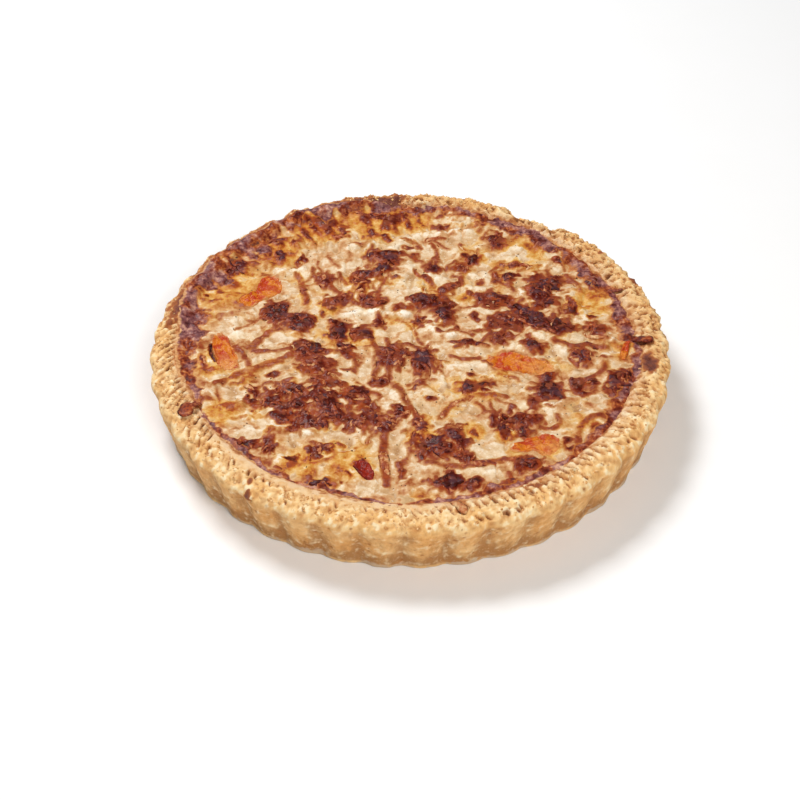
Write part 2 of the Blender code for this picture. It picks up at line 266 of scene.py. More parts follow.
# Where the custard is golden and mottled, as (x, y, radius, how brown).
TANNED = (
    (-94, 52, 20, 2.2), (-70, 79, 15, 2.2), (-50, 100, 17, 2.6), (-18, 104, 20, 2.8),
    (2, 106, 12, 2.6), (93, 36, 13, 1.6), (-52, -81, 12, 2.0), (-28, -82, 15, 1.8),
    (6, -66, 9, 2.2), (31, -61, 7, 2.4), (45, -64, 6, 2.6), (67, -72, 7, 1.8), (-92, -47, 11, 1.4),
    (-98, -12, 12, 1.2), (60, 78, 14, 1.2), (28, 40, 6, 2.2), (-42, 33, 7, 2.2),
)

# Raised folds of pale custard, as (width, points of the middle line ...).
FOLDS = (
    (4.0, (-32, 82), (-21, 85), (-8, 82)),
    (4.5, (0, 90), (9, 95), (20, 97), (33, 95)),
    (4.0, (-86, 65), (-76, 67), (-66, 62), (-57, 64)),
    (3.5, (-33, 26), (-20, 29), (-8, 27), (3, 26)),
    (3.5, (-91, 17), (-86, 7), (-84, -4)),
    (3.0, (-106, -10), (-102, -22), (-99, -34)),
    (3.0, (-102, -8), (-97, -20), (-95, -27)),
    (3.0, (-84, -36), (-81, -44), (-76, -52)),
    (4.0, (58, -45), (70, -43), (81, -38)),
    (3.5, (5, -75), (2, -68), (6, -61)),
    (3.5, (-33, -77), (-25, -73), (-17, -69)),
    (4.0, (9, 20), (18, 10), (30, 13)),
    (3.5, (40, -8), (30, -13), (17, -12)),
    (3.5, (100, 12), (99, 0), (96, -8)),
    (3.5, (57, 46), (60, 37), (66, 33)),
    (3.0, (82, 42), (87, 34), (90, 26)),
    (3.5, (-45, -61), (-58, -62), (-70, -55)),
    (3.5, (-40, -86), (-52, -84), (-62, -80)),
)

# The flakes of salmon, as (CAD node, browned share, towards which angle it turns pale, how pale,
# outline ...).
SALMON = (
    (
        "salmon_1", 0.10, -20, 0.35,
        (-89, 37), (-84, 42), (-80, 46), (-79, 52), (-76, 57.5), (-71.5, 59.5), (-67.5, 56),
        (-66, 50), (-67, 44), (-72, 39.5), (-77, 36), (-83, 32),
    ),
    (
        "salmon_2", 0.05, -70, 1.0,
        (-99.5, 9.5), (-95, 12.5), (-91.5, 9), (-90, 3), (-87, -3), (-85.5, -9), (-85, -15),
        (-89, -17), (-94, -15.5), (-97, -10), (-99, -4), (-100.3, 3),
    ),
    (
        "salmon_3", 0.00, -12, 0.9,
        (36.5, -8.5), (40, -4.5), (47, -2.5), (54, -5), (60, -7), (66, -9.5), (71, -13),
        (71.5, -17.5), (64, -20), (57, -18), (50, -17.5), (43, -16), (40, -12),
    ),
    (
        "salmon_4", 0.10, -50, 0.9,
        (46.5, -74.5), (48.5, -70), (53, -66.5), (59, -63.5), (65, -62), (70.5, -64),
        (72, -69), (69, -75), (63, -77), (58, -74.5), (52, -75.5),
    ),
    (
        "salmon_5", 0.95, 90, 0.0,
        (-27.5, -84.5), (-25.5, -81), (-21.5, -81), (-18.5, -85), (-16.8, -90.5), (-17.5, -94),
        (-21, -94), (-25, -90),
    ),
    (
        "salmon_6", 0.15, -100, 0.3,
        (111, 5), (108, 5), (106, 0), (104.6, -5), (105, -9), (107, -9.5), (109, -5), (110, 0),
    ),
)
# The open crack along one flake's left side.
CRACK = ((-100.4, 3.5), (-100.0, -2.0), (-98.6, -6.5), (-97.0, -9.6))

# ------------------------------------------------------------------------- numbers and noise
def smoothstep(low, high, value):
    """0 at low, 1 at high and a smooth change between; low may be the larger."""
    share = np.clip((value - low) / (high - low), 0.0, 1.0)
    return share * share * (3.0 - 2.0 * share)


def bell(middle, width, value):
    """1 at middle, fading to 0 on both sides of it."""
    return np.exp(-(((value - middle) / width) ** 2))


def corner_share(cell, offset, seed):
    """The dot product of a random direction at each lattice cell with offset."""
    mixed = (cell[0] * 374761393 + cell[1] * 668265263 + cell[2] * 1440662683) & 0xFFFFFFFF
    mixed = ((mixed ^ (mixed >> 13)) + seed * 974711) * 1274126177 & 0xFFFFFFFF
    mixed = (mixed ^ (mixed >> 16)) & 0xFFFF
    turn = mixed * (2 * math.pi * 37 / 65536)
    rise = (mixed * 31 % 65536) / 32768.0 - 1.0
    flat = np.sqrt(1.0 - rise * rise)
    return flat * (np.cos(turn) * offset[0] + np.sin(turn) * offset[1]) + rise * offset[2]


def noise(points, size, seed=0):
    """Smooth noise, about -1 to 1, with bumps this many millimetres apart."""
    scaled = points / size + 57.3
    base = np.floor(scaled).astype(np.int64)
    part = scaled - base
    fade = part * part * part * (part * (part * 6 - 15) + 10)
    total = 0.0
    for corner in np.ndindex(2, 2, 2):
        weight = np.prod(np.where(corner, fade, 1 - fade), axis=-1)
        cell, offset = np.moveaxis(base + corner, -1, 0), np.moveaxis(part - corner, -1, 0)
        total = total + weight * corner_share(cell, offset, seed)
    return total * 1.6


def rough_noise(points, size, seed=0, octaves=3):
    """Noise with finer noise on it, each octave half the size and half as strong."""
    return sum(noise(points, size / 2**k, seed + 11 * k) / 2**k for k in range(octaves))


def flat_points(x, y, z=0.0):
    return np.stack([x, y, np.zeros_like(x) + z], axis=-1)


def ring_points(radius, angle, height=0.0):
    """Places on a circle, for noise that runs round the quiche."""
    return flat_points(radius * np.cos(angle), radius * np.sin(angle), height)


def even_turn(count):
    """This many angles, evenly spaced round a circle."""
    return np.arange(count) / count * 2 * math.pi


def waves(angle, parts):
    """The height of several waves round a circle, each as (count, size, phase)."""
    return sum(size * np.sin(count * angle + phase) for count, size, phase in parts)


def turned(x, y, degrees):
    """x and y as seen from axes turned by this many degrees."""
    cosine, sine = math.cos(math.radians(degrees)), math.sin(math.radians(degrees))
    return x * cosine + y * sine, y * cosine - x * sine


def polar(x, y):
    """(distance, angle) of each point from the custard's middle."""
    return np.hypot(x, y - OFF_CENTRE), np.arctan2(y - OFF_CENTRE, x)


def away_from(angle, middle):
    """How many degrees angle (in radians) lies from middle (in degrees)."""
    return np.abs((np.degrees(angle) - middle + 180.0) % 360.0 - 180.0)


def spline(points, count):
    """count points along a smooth curve through points, spread evenly by length in 2D."""
    keys = np.array(points, float)
    padded = np.vstack([2 * keys[0] - keys[1], keys, 2 * keys[-1] - keys[-2]])
    t = np.arange(0, 1, 0.05)[:, None]
    dense = []
    for before, start, end, after in zip(padded, padded[1:], padded[2:], padded[3:]):
        square = (2 * before - 5 * start + 4 * end - after) * t * t
        cube = (3 * start - before - 3 * end + after) * t**3
        dense.append(0.5 * (2 * start + (end - before) * t + square + cube))
    dense = np.vstack(dense + [keys[-1:]])
    along = np.concatenate([[0], np.cumsum(np.hypot(*np.diff(dense[:, :2], axis=0).T))])
    even = np.linspace(0, along[-1], count)
    return np.stack([np.interp(even, along, column) for column in dense.T], 1)


def closed_curve(outline, count):
    """count points along a smooth closed curve through outline."""
    keys = np.array(outline, float)
    ring = spline(np.vstack([keys[-2:], keys, keys[:3]]), 60 * (len(keys) + 4))
    away = np.hypot(*(ring - keys[0]).T)
    half = len(ring) // 2
    first, last = np.argmin(away[:half]), half + np.argmin(away[half:])
    return ring[np.linspace(first, last, count, endpoint=False).astype(int)]


def line_distance(x, y, line):
    """How far each point is from a line through points."""
    at = np.stack([x, y], -1)[:, None, :]
    start, step = line[None, :-1], np.diff(line, axis=0)[None]
    along = np.sum((at - start) * step, -1) / (np.sum(step * step, -1) + 1e-9)
    away = at - start - np.clip(along, 0, 1)[..., None] * step
    return np.sqrt(np.sum(away**2, -1)).min(axis=1)


# --------------------------------------------------------------------------- the crust's shape
SECTION = spline(CRUST_SECTION, CRUST_BANDS)
RIM_TOP = spline(CRUST_SECTION[7:11], 40)[::-1]


def flute_valley(angle):
    """0 on the crest of a flute, near 1 in the valley between two."""
    swing = np.cos(FLUTES * (angle - math.radians(FLUTE_CREST)) / 2)
    return 1.0 - np.sqrt(swing**2 + VALLEY_SOFTNESS**2 * (1.0 - swing**2))


def rim_surface(radius, angle):
    """x, y and z of the rim's top this far from the middle, before its crumbs and slits."""
    height, flute, shift = (np.interp(radius, RIM_TOP[:, 0], RIM_TOP[:, c]) for c in (1, 2, 3))
    radius = radius - flute * FLUTE_DEPTH * flute_valley(angle)
    height = height + (height / HEIGHT) ** 3 * waves(angle, RIM_HEIGHT_WAVES)
    return radius * np.cos(angle), radius * np.sin(angle) + shift * OFF_CENTRE, height


def fluted_wall(angle):
    """The crust's points before its bumps: one section, from the base up, at each angle."""
    radius, height, flute, shift = SECTION.T
    high = (height / HEIGHT) ** 3
    out = radius - flute * FLUTE_DEPTH * flute_valley(angle)
    out = out + np.where(flute > 0, high, 0) * waves(angle, RIM_RADIUS_WAVES)
    y = out * np.sin(angle) + shift * OFF_CENTRE
    return np.stack([out * np.cos(angle), y, height + high * waves(angle, RIM_HEIGHT_WAVES)], -1)


def section_distance():
    """How far out each band lies along the curved section, which slits are placed by."""
    steps = np.hypot(*np.diff(SECTION[:, :2], axis=0).T)
    run = np.concatenate([[0], np.cumsum(steps)])
    lip = run[np.argmin(np.abs(SECTION[:, 1] - LIP_HEIGHT) + (SECTION[:, 0] > 116) * 50)]
    return LIP_RADIUS + (lip - run)


def section_outward():
    """The section's own outward direction as (out, up), which every bump moves along."""
    slope = np.gradient(SECTION[:, :2], axis=0)
    slope /= np.linalg.norm(slope, axis=1)[:, None]
    return slope[:, 1], -slope[:, 0]


def lap_share(angle):
    """1 where the custard's skin laps over the rim, 0 elsewhere."""
    return smoothstep(48, 26, away_from(angle, LAPPED))


def edge_radius(angle):
    """How far out the custard's skin reaches at this angle."""
    reach = EDGE_RADIUS
    for middle, half_width, past in LAPS:
        reach = reach + past * smoothstep(half_width, half_width * 0.45, away_from(angle, middle))
    return reach


def rim_bumps(x, y):
    """The rim's slow lumps, which the skin on it follows."""
    swell = 0.5 + 0.6 * lap_share(np.arctan2(y, x))
    return swell * rough_noise(flat_points(x, y), 7.0, 3, 2)


def slit_lean(angle):
    """How far a slit slants round the rim for each millimetre outwards."""
    return 0.45 - 0.3 * np.cos(angle)


def crimp_strength(angle):
    """How deep the crimps are: deepest at the left and front, faint at the back and right."""
    left = smoothstep(62.0, 40.0, away_from(angle, LEFT))
    front_left = smoothstep(24.0, 12.0, away_from(angle, FRONT_LEFT))
    front_right = smoothstep(38.0, 20.0, away_from(angle, FRONT_RIGHT))
    return 0.14 + 0.66 * np.maximum(left, front_left) + 0.66 * front_right


def scattered_slits(draw):
    """Slits and pits of the rim, as (angle, radius, half length, half width, lean, depth)."""
    slits = []
    gap = 2 * math.pi / CRIMPS
    for k in range(CRIMPS):
        angle = (k + draw.uniform(-0.15, 0.15)) * gap
        crumbly = max(0.0, math.cos(angle - math.radians(CRUMBLIEST)))
        lean = slit_lean(angle) + draw.uniform(-0.15, 0.15) * (1.0 + 5.0 * crumbly)
        if draw.random() < 0.8 - 0.35 * crumbly:
            length, width = draw.uniform(2.2, 4.4), draw.uniform(0.4, 0.75)
            depth = draw.uniform(0.6, 1.5) * (0.7 + 0.5 * crimp_strength(angle))
            slits.append((angle, draw.uniform(117.3, 120.3), length, width, lean, depth))
        for _ in range(2):
            if draw.random() < 0.6:
                beside, radius = draw.uniform(-0.5, 0.5) * gap, draw.uniform(122.0, 128.0)
                length, width = draw.uniform(0.8, 2.2), draw.uniform(0.5, 1.0)
                slant, depth = lean + draw.uniform(-0.4, 0.6), draw.uniform(0.3, 1.0)
                slits.append((angle + beside, radius, length, width, slant, depth))
    return slits


def press_slits(depth, along, slits):
    """Adds each slit's hollow to depth, a grid of columns round and bands across the crust."""
    per_radian = len(depth) / (2 * math.pi)
    for angle, radius, half_length, half_width, lean, strength in slits:
        reach = (half_width * 2.5 + abs(lean) * half_length) / RIM_MIDDLE
        first, last = int((angle - reach) * per_radian), int((angle + reach) * per_radian)
        column = np.arange(first, last + 2)
        beside = ((column / per_radian - angle) * RIM_MIDDLE)[:, None]
        out = along - radius
        across = (beside - lean * out) / half_width
        ends = np.clip(1.0 - (out / half_length) ** 2, 0.0, 1.0)
        hollow = strength * np.exp(-(across**2)) * np.sqrt(ends)
        column = column % len(depth)
        depth[column] = np.maximum(depth[column], hollow)


def press_hole(holes, points, draw):
    """One round pit somewhere on the wall or the rim."""
    column = draw.integers(len(points))
    band = int(CRUST_BANDS * draw.uniform(0.12, 0.82))
    radius = draw.uniform(0.5, 1.3)
    reach = int(radius * 2.4 / COLUMN_GAP) + 1
    near = np.arange(column - reach, column + reach + 1) % len(points)
    bands = slice(max(band - 4, 0), band + 5)
    away = np.linalg.norm(points[near, bands] - points[column, band], axis=-1)
    dent = draw.uniform(0.4, 1.0) * bell(0.0, radius, away)
    holes[near, bands] = np.maximum(holes[near, bands], dent)


def crust_pits(points, angle, along, kept):
    """How deep each point lies in the scattered slits, and in the round holes."""
    draw = np.random.default_rng(SLIT_SEED)
    pits, holes = np.zeros(points.shape[:2]), np.zeros(points.shape[:2])
    press_slits(pits, along, scattered_slits(draw))
    pits *= smoothstep(110, 116, along) * kept
    pits *= 1.0 + 0.4 * smoothstep(38.0, 20.0, away_from(angle, FRONT_RIGHT))
    for _ in range(HOLES):
        press_hole(holes, points, draw)
    return pits, holes


def crimp_grooves(points, angle, along, rough_top):
    """How deep each point lies in the regular crimps pressed round the rim."""
    phase = angle - slit_lean(angle) * (along - 119.0) / RIM_MIDDLE
    phase = phase + 0.016 * noise(points, 7.0, 10)
    groove = (1.0 - np.abs(np.sin(CRIMPS / 2 * phase))) ** 2.4
    outer = 125.0 + 5.0 * smoothstep(65, 40, away_from(angle, WIDEST_CRIMPS))
    groove *= smoothstep(113.5, 116.5, along) * smoothstep(outer, outer - 4.0, along)
    groove *= rough_top * np.clip(0.8 + 1.0 * noise(points, 7.0, 9), 0.0, 1.5)
    return groove * crimp_strength(angle)


def outer_bumps(points, angle, along):
    """Bumps of the rim's shoulder, of its swollen and its broken place, and of the foot."""
    radius, height, _, shift = SECTION.T
    bump = -1.1 * bell(128.5, 2.6, along) * np.abs(rough_noise(points, 6.0, 21, 3))
    swollen = lap_share(angle) * smoothstep(125.5, 128.5, along) * smoothstep(16, 27, height)
    bump += 1.3 * swollen * noise(points, 9.0, 23)
    broken = smoothstep(9, 5, away_from(angle, BROKEN)) * smoothstep(22, 31, height)
    bump -= 3.4 * broken * (shift < 0.5)
    return bump + 0.35 * bell(1.2, 1.2, height) * (radius > 110) * noise(points, 5.0, 33)


def crust_shape():
    """The crust's points, columns round it by bands up it, and what its material reads."""
    angle = even_turn(CRUST_COLUMNS)[:, None]
    radius, height, _, shift = SECTION.T
    along = section_distance()
    points = fluted_wall(angle)

    bare = smoothstep(-0.5, 3.0, along - edge_radius(angle))
    smooth_strip = smoothstep(36, 24, away_from(angle, FRONT)) * smoothstep(121.0, 118.0, along)
    on_top = smoothstep(27.5, 29.5, height) * (shift < 0.97)
    rough_top = on_top * (1 - 0.85 * smooth_strip) * (0.15 + 0.85 * bare)
    wall = smoothstep(30.0, 26.0, height) * smoothstep(0.2, 3.0, height)
    back_right = smoothstep(70.0, 45.0, away_from(angle, BACK_RIGHT)) * rough_top

    pits, holes = crust_pits(points, angle, along, (0.1 + 0.9 * bare) * (1 - 0.9 * smooth_strip))
    groove = crimp_grooves(points, angle, along, rough_top)
    lumps = rim_bumps(points[..., 0], points[..., 1])
    crumbs = rough_noise(points, 3.0, 8, 3)
    # The hollows between the crumbs of the back-right rim go into the pit layer, which paints shade
    # in them.
    hollows = 0.9 * back_right * smoothstep(0.12, 0.55, -crumbs)

    bump = lumps * on_top * (1 - smooth_strip) + (0.25 - 1.4 * groove) * rough_top
    bump += crumbs * (0.55 * rough_top + 0.80 * back_right + 0.22 * wall)
    bump += 0.38 * wall * rough_noise(points, 9.0, 5, 2) + outer_bumps(points, angle, along)
    bump -= 1.8 * pits + 0.7 * holes
    hidden = (height < 28.0) & (radius < 114.0) | (height <= 0.0)
    bump = np.where(hidden, 0.0, bump)
    out, up = section_outward()
    outward = np.stack([out * np.cos(angle), out * np.sin(angle), up + 0 * angle], -1)
    points += outward * bump[..., None]
    points[..., 2] = np.maximum(points[..., 2], 0.0)

    # relief drives the pastry's colour: painted highlight on the high crumbs and lumps, painted shade
    # in the crimp grooves. Lowering it on the rough top of the back-right rim paints that rim darker
    # as shade.
    relief = crumbs * (0.9 * rough_top + 0.45 * wall) + 0.5 * lumps * on_top - 1.1 * groove
    layers = {
        # pit: painted shade in the slits, holes, crimp grooves and hollows.
        "pit": np.clip(pits * 1.1 + holes * 0.9 + 0.8 * groove + hollows, 0, 1.2),
        "relief": relief - 0.32 * back_right,
        # valley: the material paints the flute valleys darker as shade.
        "valley": flute_valley(angle) * wall,
        "wall": wall,
        "stain": rim_stains(points, angle, along),
        "inner": smoothstep(124.0, 116.0, along) * on_top,
    }
    return points, {name: np.broadcast_to(value, pits.shape) for name, value in layers.items()}


def rim_stains(points, angle, along):
    """Where custard and cheese boiled onto the crust and browned, from 0 to 1."""
    stain = np.zeros(points.shape[:2])
    grain = rough_noise(points, 4.0, 61, 3)
    for x, y, width, height, strength in RIM_STAINS:
        away = np.hypot((points[..., 0] - x) / width * 2, (points[..., 1] - y) / height * 2)
        stain = np.maximum(stain, strength * smoothstep(1.4, 0.2, away + 0.4 * grain))
    stain *= smoothstep(26.0, 28.0, points[..., 2])
    lapped = smoothstep(0.05, 0.5, lap_share(angle) + 0.2 * grain)
    back = smoothstep(128.0, 123.5, along + 1.6 * grain) * lapped
    shoulder = smoothstep(134.0, 128.0, along + 2.0 * grain) * lapped
    seam = smoothstep(3.4, 0.0, along - edge_radius(angle) + 1.4 * grain)
    return np.max([stain, 0.8 * back, 0.42 * shoulder, 0.34 * seam], axis=0)


# ------------------------------------------------------------------------- the custard's shape
def skin_width(angle):
    """How wide the dark skin is at this angle."""
    keys = np.array(SKIN_WIDTHS, float)
    return np.interp((np.degrees(angle) + 180) % 360 - 180, keys[:, 0], keys[:, 1])


def inside_skin(x, y):
    """How far inside the dark skin each point lies."""
    radius, angle = polar(x, y)
    return edge_radius(angle) - radius - skin_width(angle)


def ellipse_depth(x, y, patch):
    """How far inside a patch each point lies, in about millimetres, negative outside."""
    dx, dy = turned(x - patch[0], y - patch[1], patch[4] if len(patch) > 4 else 0.0)
    away = np.hypot(dx / patch[2] * 2, dy / patch[3] * 2)
    return (1.0 - away) * min(patch[2], patch[3]) / 2


def border_streaks(x, y):
    """Streaks that run in from the custard's edge, about -1 to 1, fading 25 mm inside it."""
    radius, angle = polar(x, y)
    rolled = ring_points(SKIN_RING, angle, 0.27 * radius)
    streaks = noise(rolled, 4.4, 51) + 0.5 * noise(rolled, 2.2, 52)
    stronger = 1.0 + 0.8 * smoothstep(45.0, 15.0, away_from(angle, BACK))
    return streaks * stronger * smoothstep(25.0, 8.0, inside_skin(x, y))


def halo_slope(spots):
    """How fast a browned place fades into cream: 1.1 is a wide amber halo, 3.4 a sharp edge."""
    return 3.4 - 2.3 * smoothstep(-0.3, 0.7, noise(spots, 16.0, 5) + 0.5 * noise(spots, 6.0, 57))


def tanned_share(x, y, tan_x, tan_y, radius, mottle):
    """1 inside one tanned place and 0 outside, with a mottled edge."""
    return smoothstep(radius, radius * 0.4, np.hypot(x - tan_x, y - tan_y) + 2.5 * mottle)


def patch_browning(x, y, slope):
    """(brown, dark) of the browned patches and the blisters alone."""
    body = np.full(x.shape, FAR_OUTSIDE)
    dark = np.zeros(x.shape)
    for patch in PATCHES:
        depth = ellipse_depth(x, y, patch)
        body = np.maximum(body, np.minimum(depth + 0.1, 0.7 + 3.0 * patch[5] ** 2))
        dark = np.maximum(dark, patch[5] * smoothstep(-0.5, 3.0, depth))
    body = np.where(body < 0, body * slope, body)
    for spot_x, spot_y, radius in BLISTERS:
        depth = radius - np.hypot(x - spot_x, y - spot_y)
        body = np.maximum(body, np.where(depth < 0, 2.2 * depth, np.minimum(1.4 * depth, 1.6)))
        dark = np.maximum(dark, 0.4 * smoothstep(-0.3, 0.8, depth))
    return body, dark


def ground_browning(x, y, mottle):
    """How brown the custard is between the patches."""
    angle, inward = polar(x, y)[1], inside_skin(x, y)
    border = smoothstep(24.0, 0.0, inward) * (0.35 + 0.65 * smoothstep(3.0, 9.0, skin_width(angle)))
    back = smoothstep(62, 35, away_from(angle, BACK_LEFT)) * smoothstep(30.0, 12.0, inward)
    ground = -3.9 + 2.2 * border + 3.0 * mottle + 2.2 * border_streaks(x, y)
    ground += 2.6 * back * noise(flat_points(x, y), 8.0, 8)
    for tan_x, tan_y, radius, amount in TANNED:
        ground += amount * tanned_share(x, y, tan_x, tan_y, radius, mottle)
    return np.minimum(ground, 0.4 + 2.2 * back)


def browning(x, y):
    """(brown, dark) at each point: brown in millimetres inside a browned patch, dark 0 to 1."""
    spots = flat_points(x, y)
    warped_x = x + 2.4 * noise(spots, 8.0, 1) + 1.3 * noise(spots, 3.5, 2)
    warped_y = y + 2.4 * noise(spots, 8.0, 3) + 1.3 * noise(spots, 3.5, 4)
    body, dark = patch_browning(warped_x, warped_y, halo_slope(spots))
    gaps = smoothstep(0.20, 0.50, noise(spots * [1.0, 1.4, 1.0], 6.0, 62))
    body += 2.2 * rough_noise(spots, 4.2, 7, 3) - 7.0 * gaps * (1.0 - 0.5 * dark**2)
    mottle = rough_noise(flat_points(warped_x * 0.8, warped_y), 6.5, 6, 3)
    brown = np.maximum(body, ground_browning(x, y, mottle))
    for hole in PALE_HOLES:
        pale = smoothstep(-0.9, 1.3, ellipse_depth(warped_x, warped_y, hole))
        brown = brown + pale * (np.minimum(brown, -5.0) - brown)
        dark = dark * (1.0 - pale)
    return brown, dark


def shred_nearness(x, y, shreds):
    """(depth, tone) of the nearest shred at each point: how far inside it, in millimetres."""
    nearness = np.full(x.shape, FAR_OUTSIDE)
    shade = np.zeros(x.shape)
    for line, width, tone in shreds:
        low, high = line.min(axis=0) - 4.0, line.max(axis=0) + 4.0
        near = np.flatnonzero((x > low[0]) & (x < high[0]) & (y > low[1]) & (y < high[1]))
        if len(near):
            depth = width / 2 - line_distance(x[near], y[near], line)
            better = depth > nearness[near]
            nearness[near[better]] = depth[better]
            shade[near[better]] = tone
    return nearness, shade


def slow_level(x, y):
    """The custard's level with only its slow waves and mounds."""
    level = np.full(x.shape, CUSTARD_LEVEL)
    for degrees, wavelength, size, phase in RELIEF_WAVES:
        level += size * np.sin(2 * math.pi * turned(x, y, degrees)[0] / wavelength + phase)
    for mound_x, mound_y, radius, rise in MOUNDS:
        level += 0.8 * rise * smoothstep(radius, 0.0, np.hypot(x - mound_x, y - mound_y))
    return level


def inside_loop(x, y, loop):
    """Whether a ray from each point crosses the loop an odd number of times."""
    x, y = x[:, None], y[:, None]
    start, step = loop[:-1], np.diff(loop, axis=0)
    above = (start[:, 1] > y) != (start[:, 1] + step[:, 1] > y)
    rise = np.where(step[:, 1] == 0, 1e-9, step[:, 1])
    crossing = start[:, 0] + (y - start[:, 1]) / rise * step[:, 0]
    return np.sum(above & (crossing > x), axis=1) % 2 == 1


def salmon_depth(x, y):
    """How far inside the nearest flake of salmon each point lies, negative outside."""
    depth = np.full(x.shape, FAR_OUTSIDE)
    for _, _, _, _, *outline in SALMON:
        middle = np.mean(outline, axis=0)
        near = np.flatnonzero((np.abs(x - middle[0]) < 26.0) & (np.abs(y - middle[1]) < 26.0))
        if len(near):
            loop = np.array(outline + outline[:1], float)
            away = line_distance(x[near], y[near], loop)
            inside = inside_loop(x[near], y[near], loop)
            depth[near] = np.maximum(depth[near], np.where(inside, away, -away))
    return depth


def crack_depth(x, y):
    """1 in the open crack beside a flake, 0 away from it."""
    line = spline(CRACK, 12)
    away = np.hypot(x[:, None] - line[None, :, 0], y[:, None] - line[None, :, 1]).min(axis=1)
    return smoothstep(1.3, 0.3, away)


def custard_relief(x, y):
    """The lumps, furrows and folds of the custard, about -1 to 1 millimetres."""
    spots = flat_points(x, y)
    relief = 0.75 * noise(spots, 10.0, 12) + 0.75 * noise(spots * [1.0, 1.3, 1.0], 5.6, 13)
    relief += 0.28 * noise(spots, 2.8, 14) + 0.45 * border_streaks(x, y)
    furrow = np.abs(noise(spots * [1.0, 0.6, 1.0], 8.5, 17))
    relief -= 0.75 * smoothstep(0.18, 0.0, furrow)
    wavy_x, wavy_y = x + 1.5 * noise(spots, 6.0, 18), y + 1.5 * noise(spots, 6.0, 19)
    folds = [(spline(points, 16), width, 1.0) for width, *points in FOLDS]
    nearness, _ = shred_nearness(wavy_x, wavy_y, folds)
    return relief + 1.1 * smoothstep(-1.6, 1.6, nearness)


def custard_height(x, y, brown, relief):
    """The custard's surface away from its edge."""
    browned = smoothstep(-1.5, 1.6, brown)
    height = slow_level(x, y) + relief * (1.0 - 0.4 * browned)
    height += 0.35 * browned + 0.3 * smoothstep(0.5, 4.0, brown)
    tangle = 1.0 - np.abs(noise(flat_points(x, y), 3.4, 15))
    height += 0.7 * (tangle - 0.6) * smoothstep(-0.8, 1.2, brown)
    depth = salmon_depth(x, y)
    height += 0.5 * bell(-0.8, 1.2, depth) - 0.8 * smoothstep(0.5, 2.5, depth)
    return height - 2.2 * crack_depth(x, y)


def square_to_disc(count):
    """(radius, angle) of a square grid pulled into a unit disc, as flat lists."""
    side = np.linspace(-1.0, 1.0, count)
    a, b = np.meshgrid(side, side, indexing="ij")
    first = np.abs(a) >= np.abs(b)
    radius = np.where(first, a, b)
    safe_a, safe_b = np.where(a == 0, 1e-9, a), np.where(b == 0, 1e-9, b)
    turn = np.where(first, math.pi / 4 * b / safe_a, math.pi / 2 - math.pi / 4 * a / safe_b)
    x, y = radius * np.cos(turn), radius * np.sin(turn)
    return np.hypot(x, y).ravel(), np.arctan2(y, x).ravel()


def ragged_edge(angle):
    """How far out the custard reaches, with the uneven edge of a baked skin."""
    ring = ring_points(EDGE_RING, angle)
    edge = edge_radius(angle) + (1.3 + 0.5 * lap_share(angle)) * rough_noise(ring, 4.0, 71, 3)
    return np.minimum(edge + 1.3 * noise(ring, 10.0, 72), MOST_REACH)


def custard_place(radius, angle):
    """x and y this far out, which follow the rim's top past its start, and the rim's height."""
    rim_x, rim_y, rim_z = rim_surface(np.maximum(radius, RIM_START), angle)
    over = radius > RIM_START
    x = np.where(over, rim_x, radius * np.cos(angle))
    return x, np.where(over, rim_y, radius * np.sin(angle) + OFF_CENTRE), rim_z


def edge_skin(x, y, angle, inward):
    """(width, share, rind) of the dark skin and the paler rind along the custard's edge."""
    spots, around = flat_points(x, y), ring_points(SKIN_RING, angle)
    skin = skin_width(angle) * (1.0 + 0.6 * noise(around, 12.0, 33))
    wander = 6.0 * noise(spots, 11.0, 31) + 4.5 * noise(spots, 4.5, 32) - 3.5 * border_streaks(x, y)
    right = smoothstep(75.0, 45.0, away_from(angle, RIGHT))
    soft = 0.9 + 3.0 * smoothstep(2.0, 8.0, skin)
    loose = np.clip(skin / 8, 0.25, 1.3) * (1.0 - 0.5 * right)
    share = smoothstep(soft, -soft, inward - skin + wander * loose)
    reach = np.clip(skin / 6.0, 0.3, 1.0) * (1.0 - 0.6 * right)
    rind = smoothstep(2.4 * reach, 0.0, inward + 1.4 * reach * rough_noise(around, 4.0, 59, 2))
    return skin, share, rind


def shred_marks(x, y, shreds):
    """(brown, rise) that the shreds give to the custard under them."""
    spots = flat_points(x, y)
    nearness, shade = shred_nearness(x, y, shreds)
    halo = np.where(nearness < 0, halo_slope(spots), 1.6) * nearness + 2.4 * (shade - 0.35) - 1.5
    halo = np.minimum(halo, 0.1 + 2.4 * np.maximum(shade - 0.6, 0.0)) + 1.0 * noise(spots, 3.4, 63)
    rise = 0.6 * smoothstep(-1.4, 0.9, nearness) * smoothstep(0.05, 0.4, shade)
    return np.where(nearness > -2.5, halo, FAR_OUTSIDE), rise


def amber_share(x, y):
    """How amber, rather than grey, the lightly browned custard is."""
    spots = flat_points(x, y)
    amber = 0.8 * smoothstep(0.0, 0.8, noise(spots, 20.0, 55) + 0.6 * noise(spots, 7.0, 56))
    mottle = noise(spots, 6.0, 58)
    for tan_x, tan_y, radius, _ in TANNED:
        amber = np.maximum(amber, tanned_share(x, y, tan_x, tan_y, radius * 1.25, mottle))
    return amber


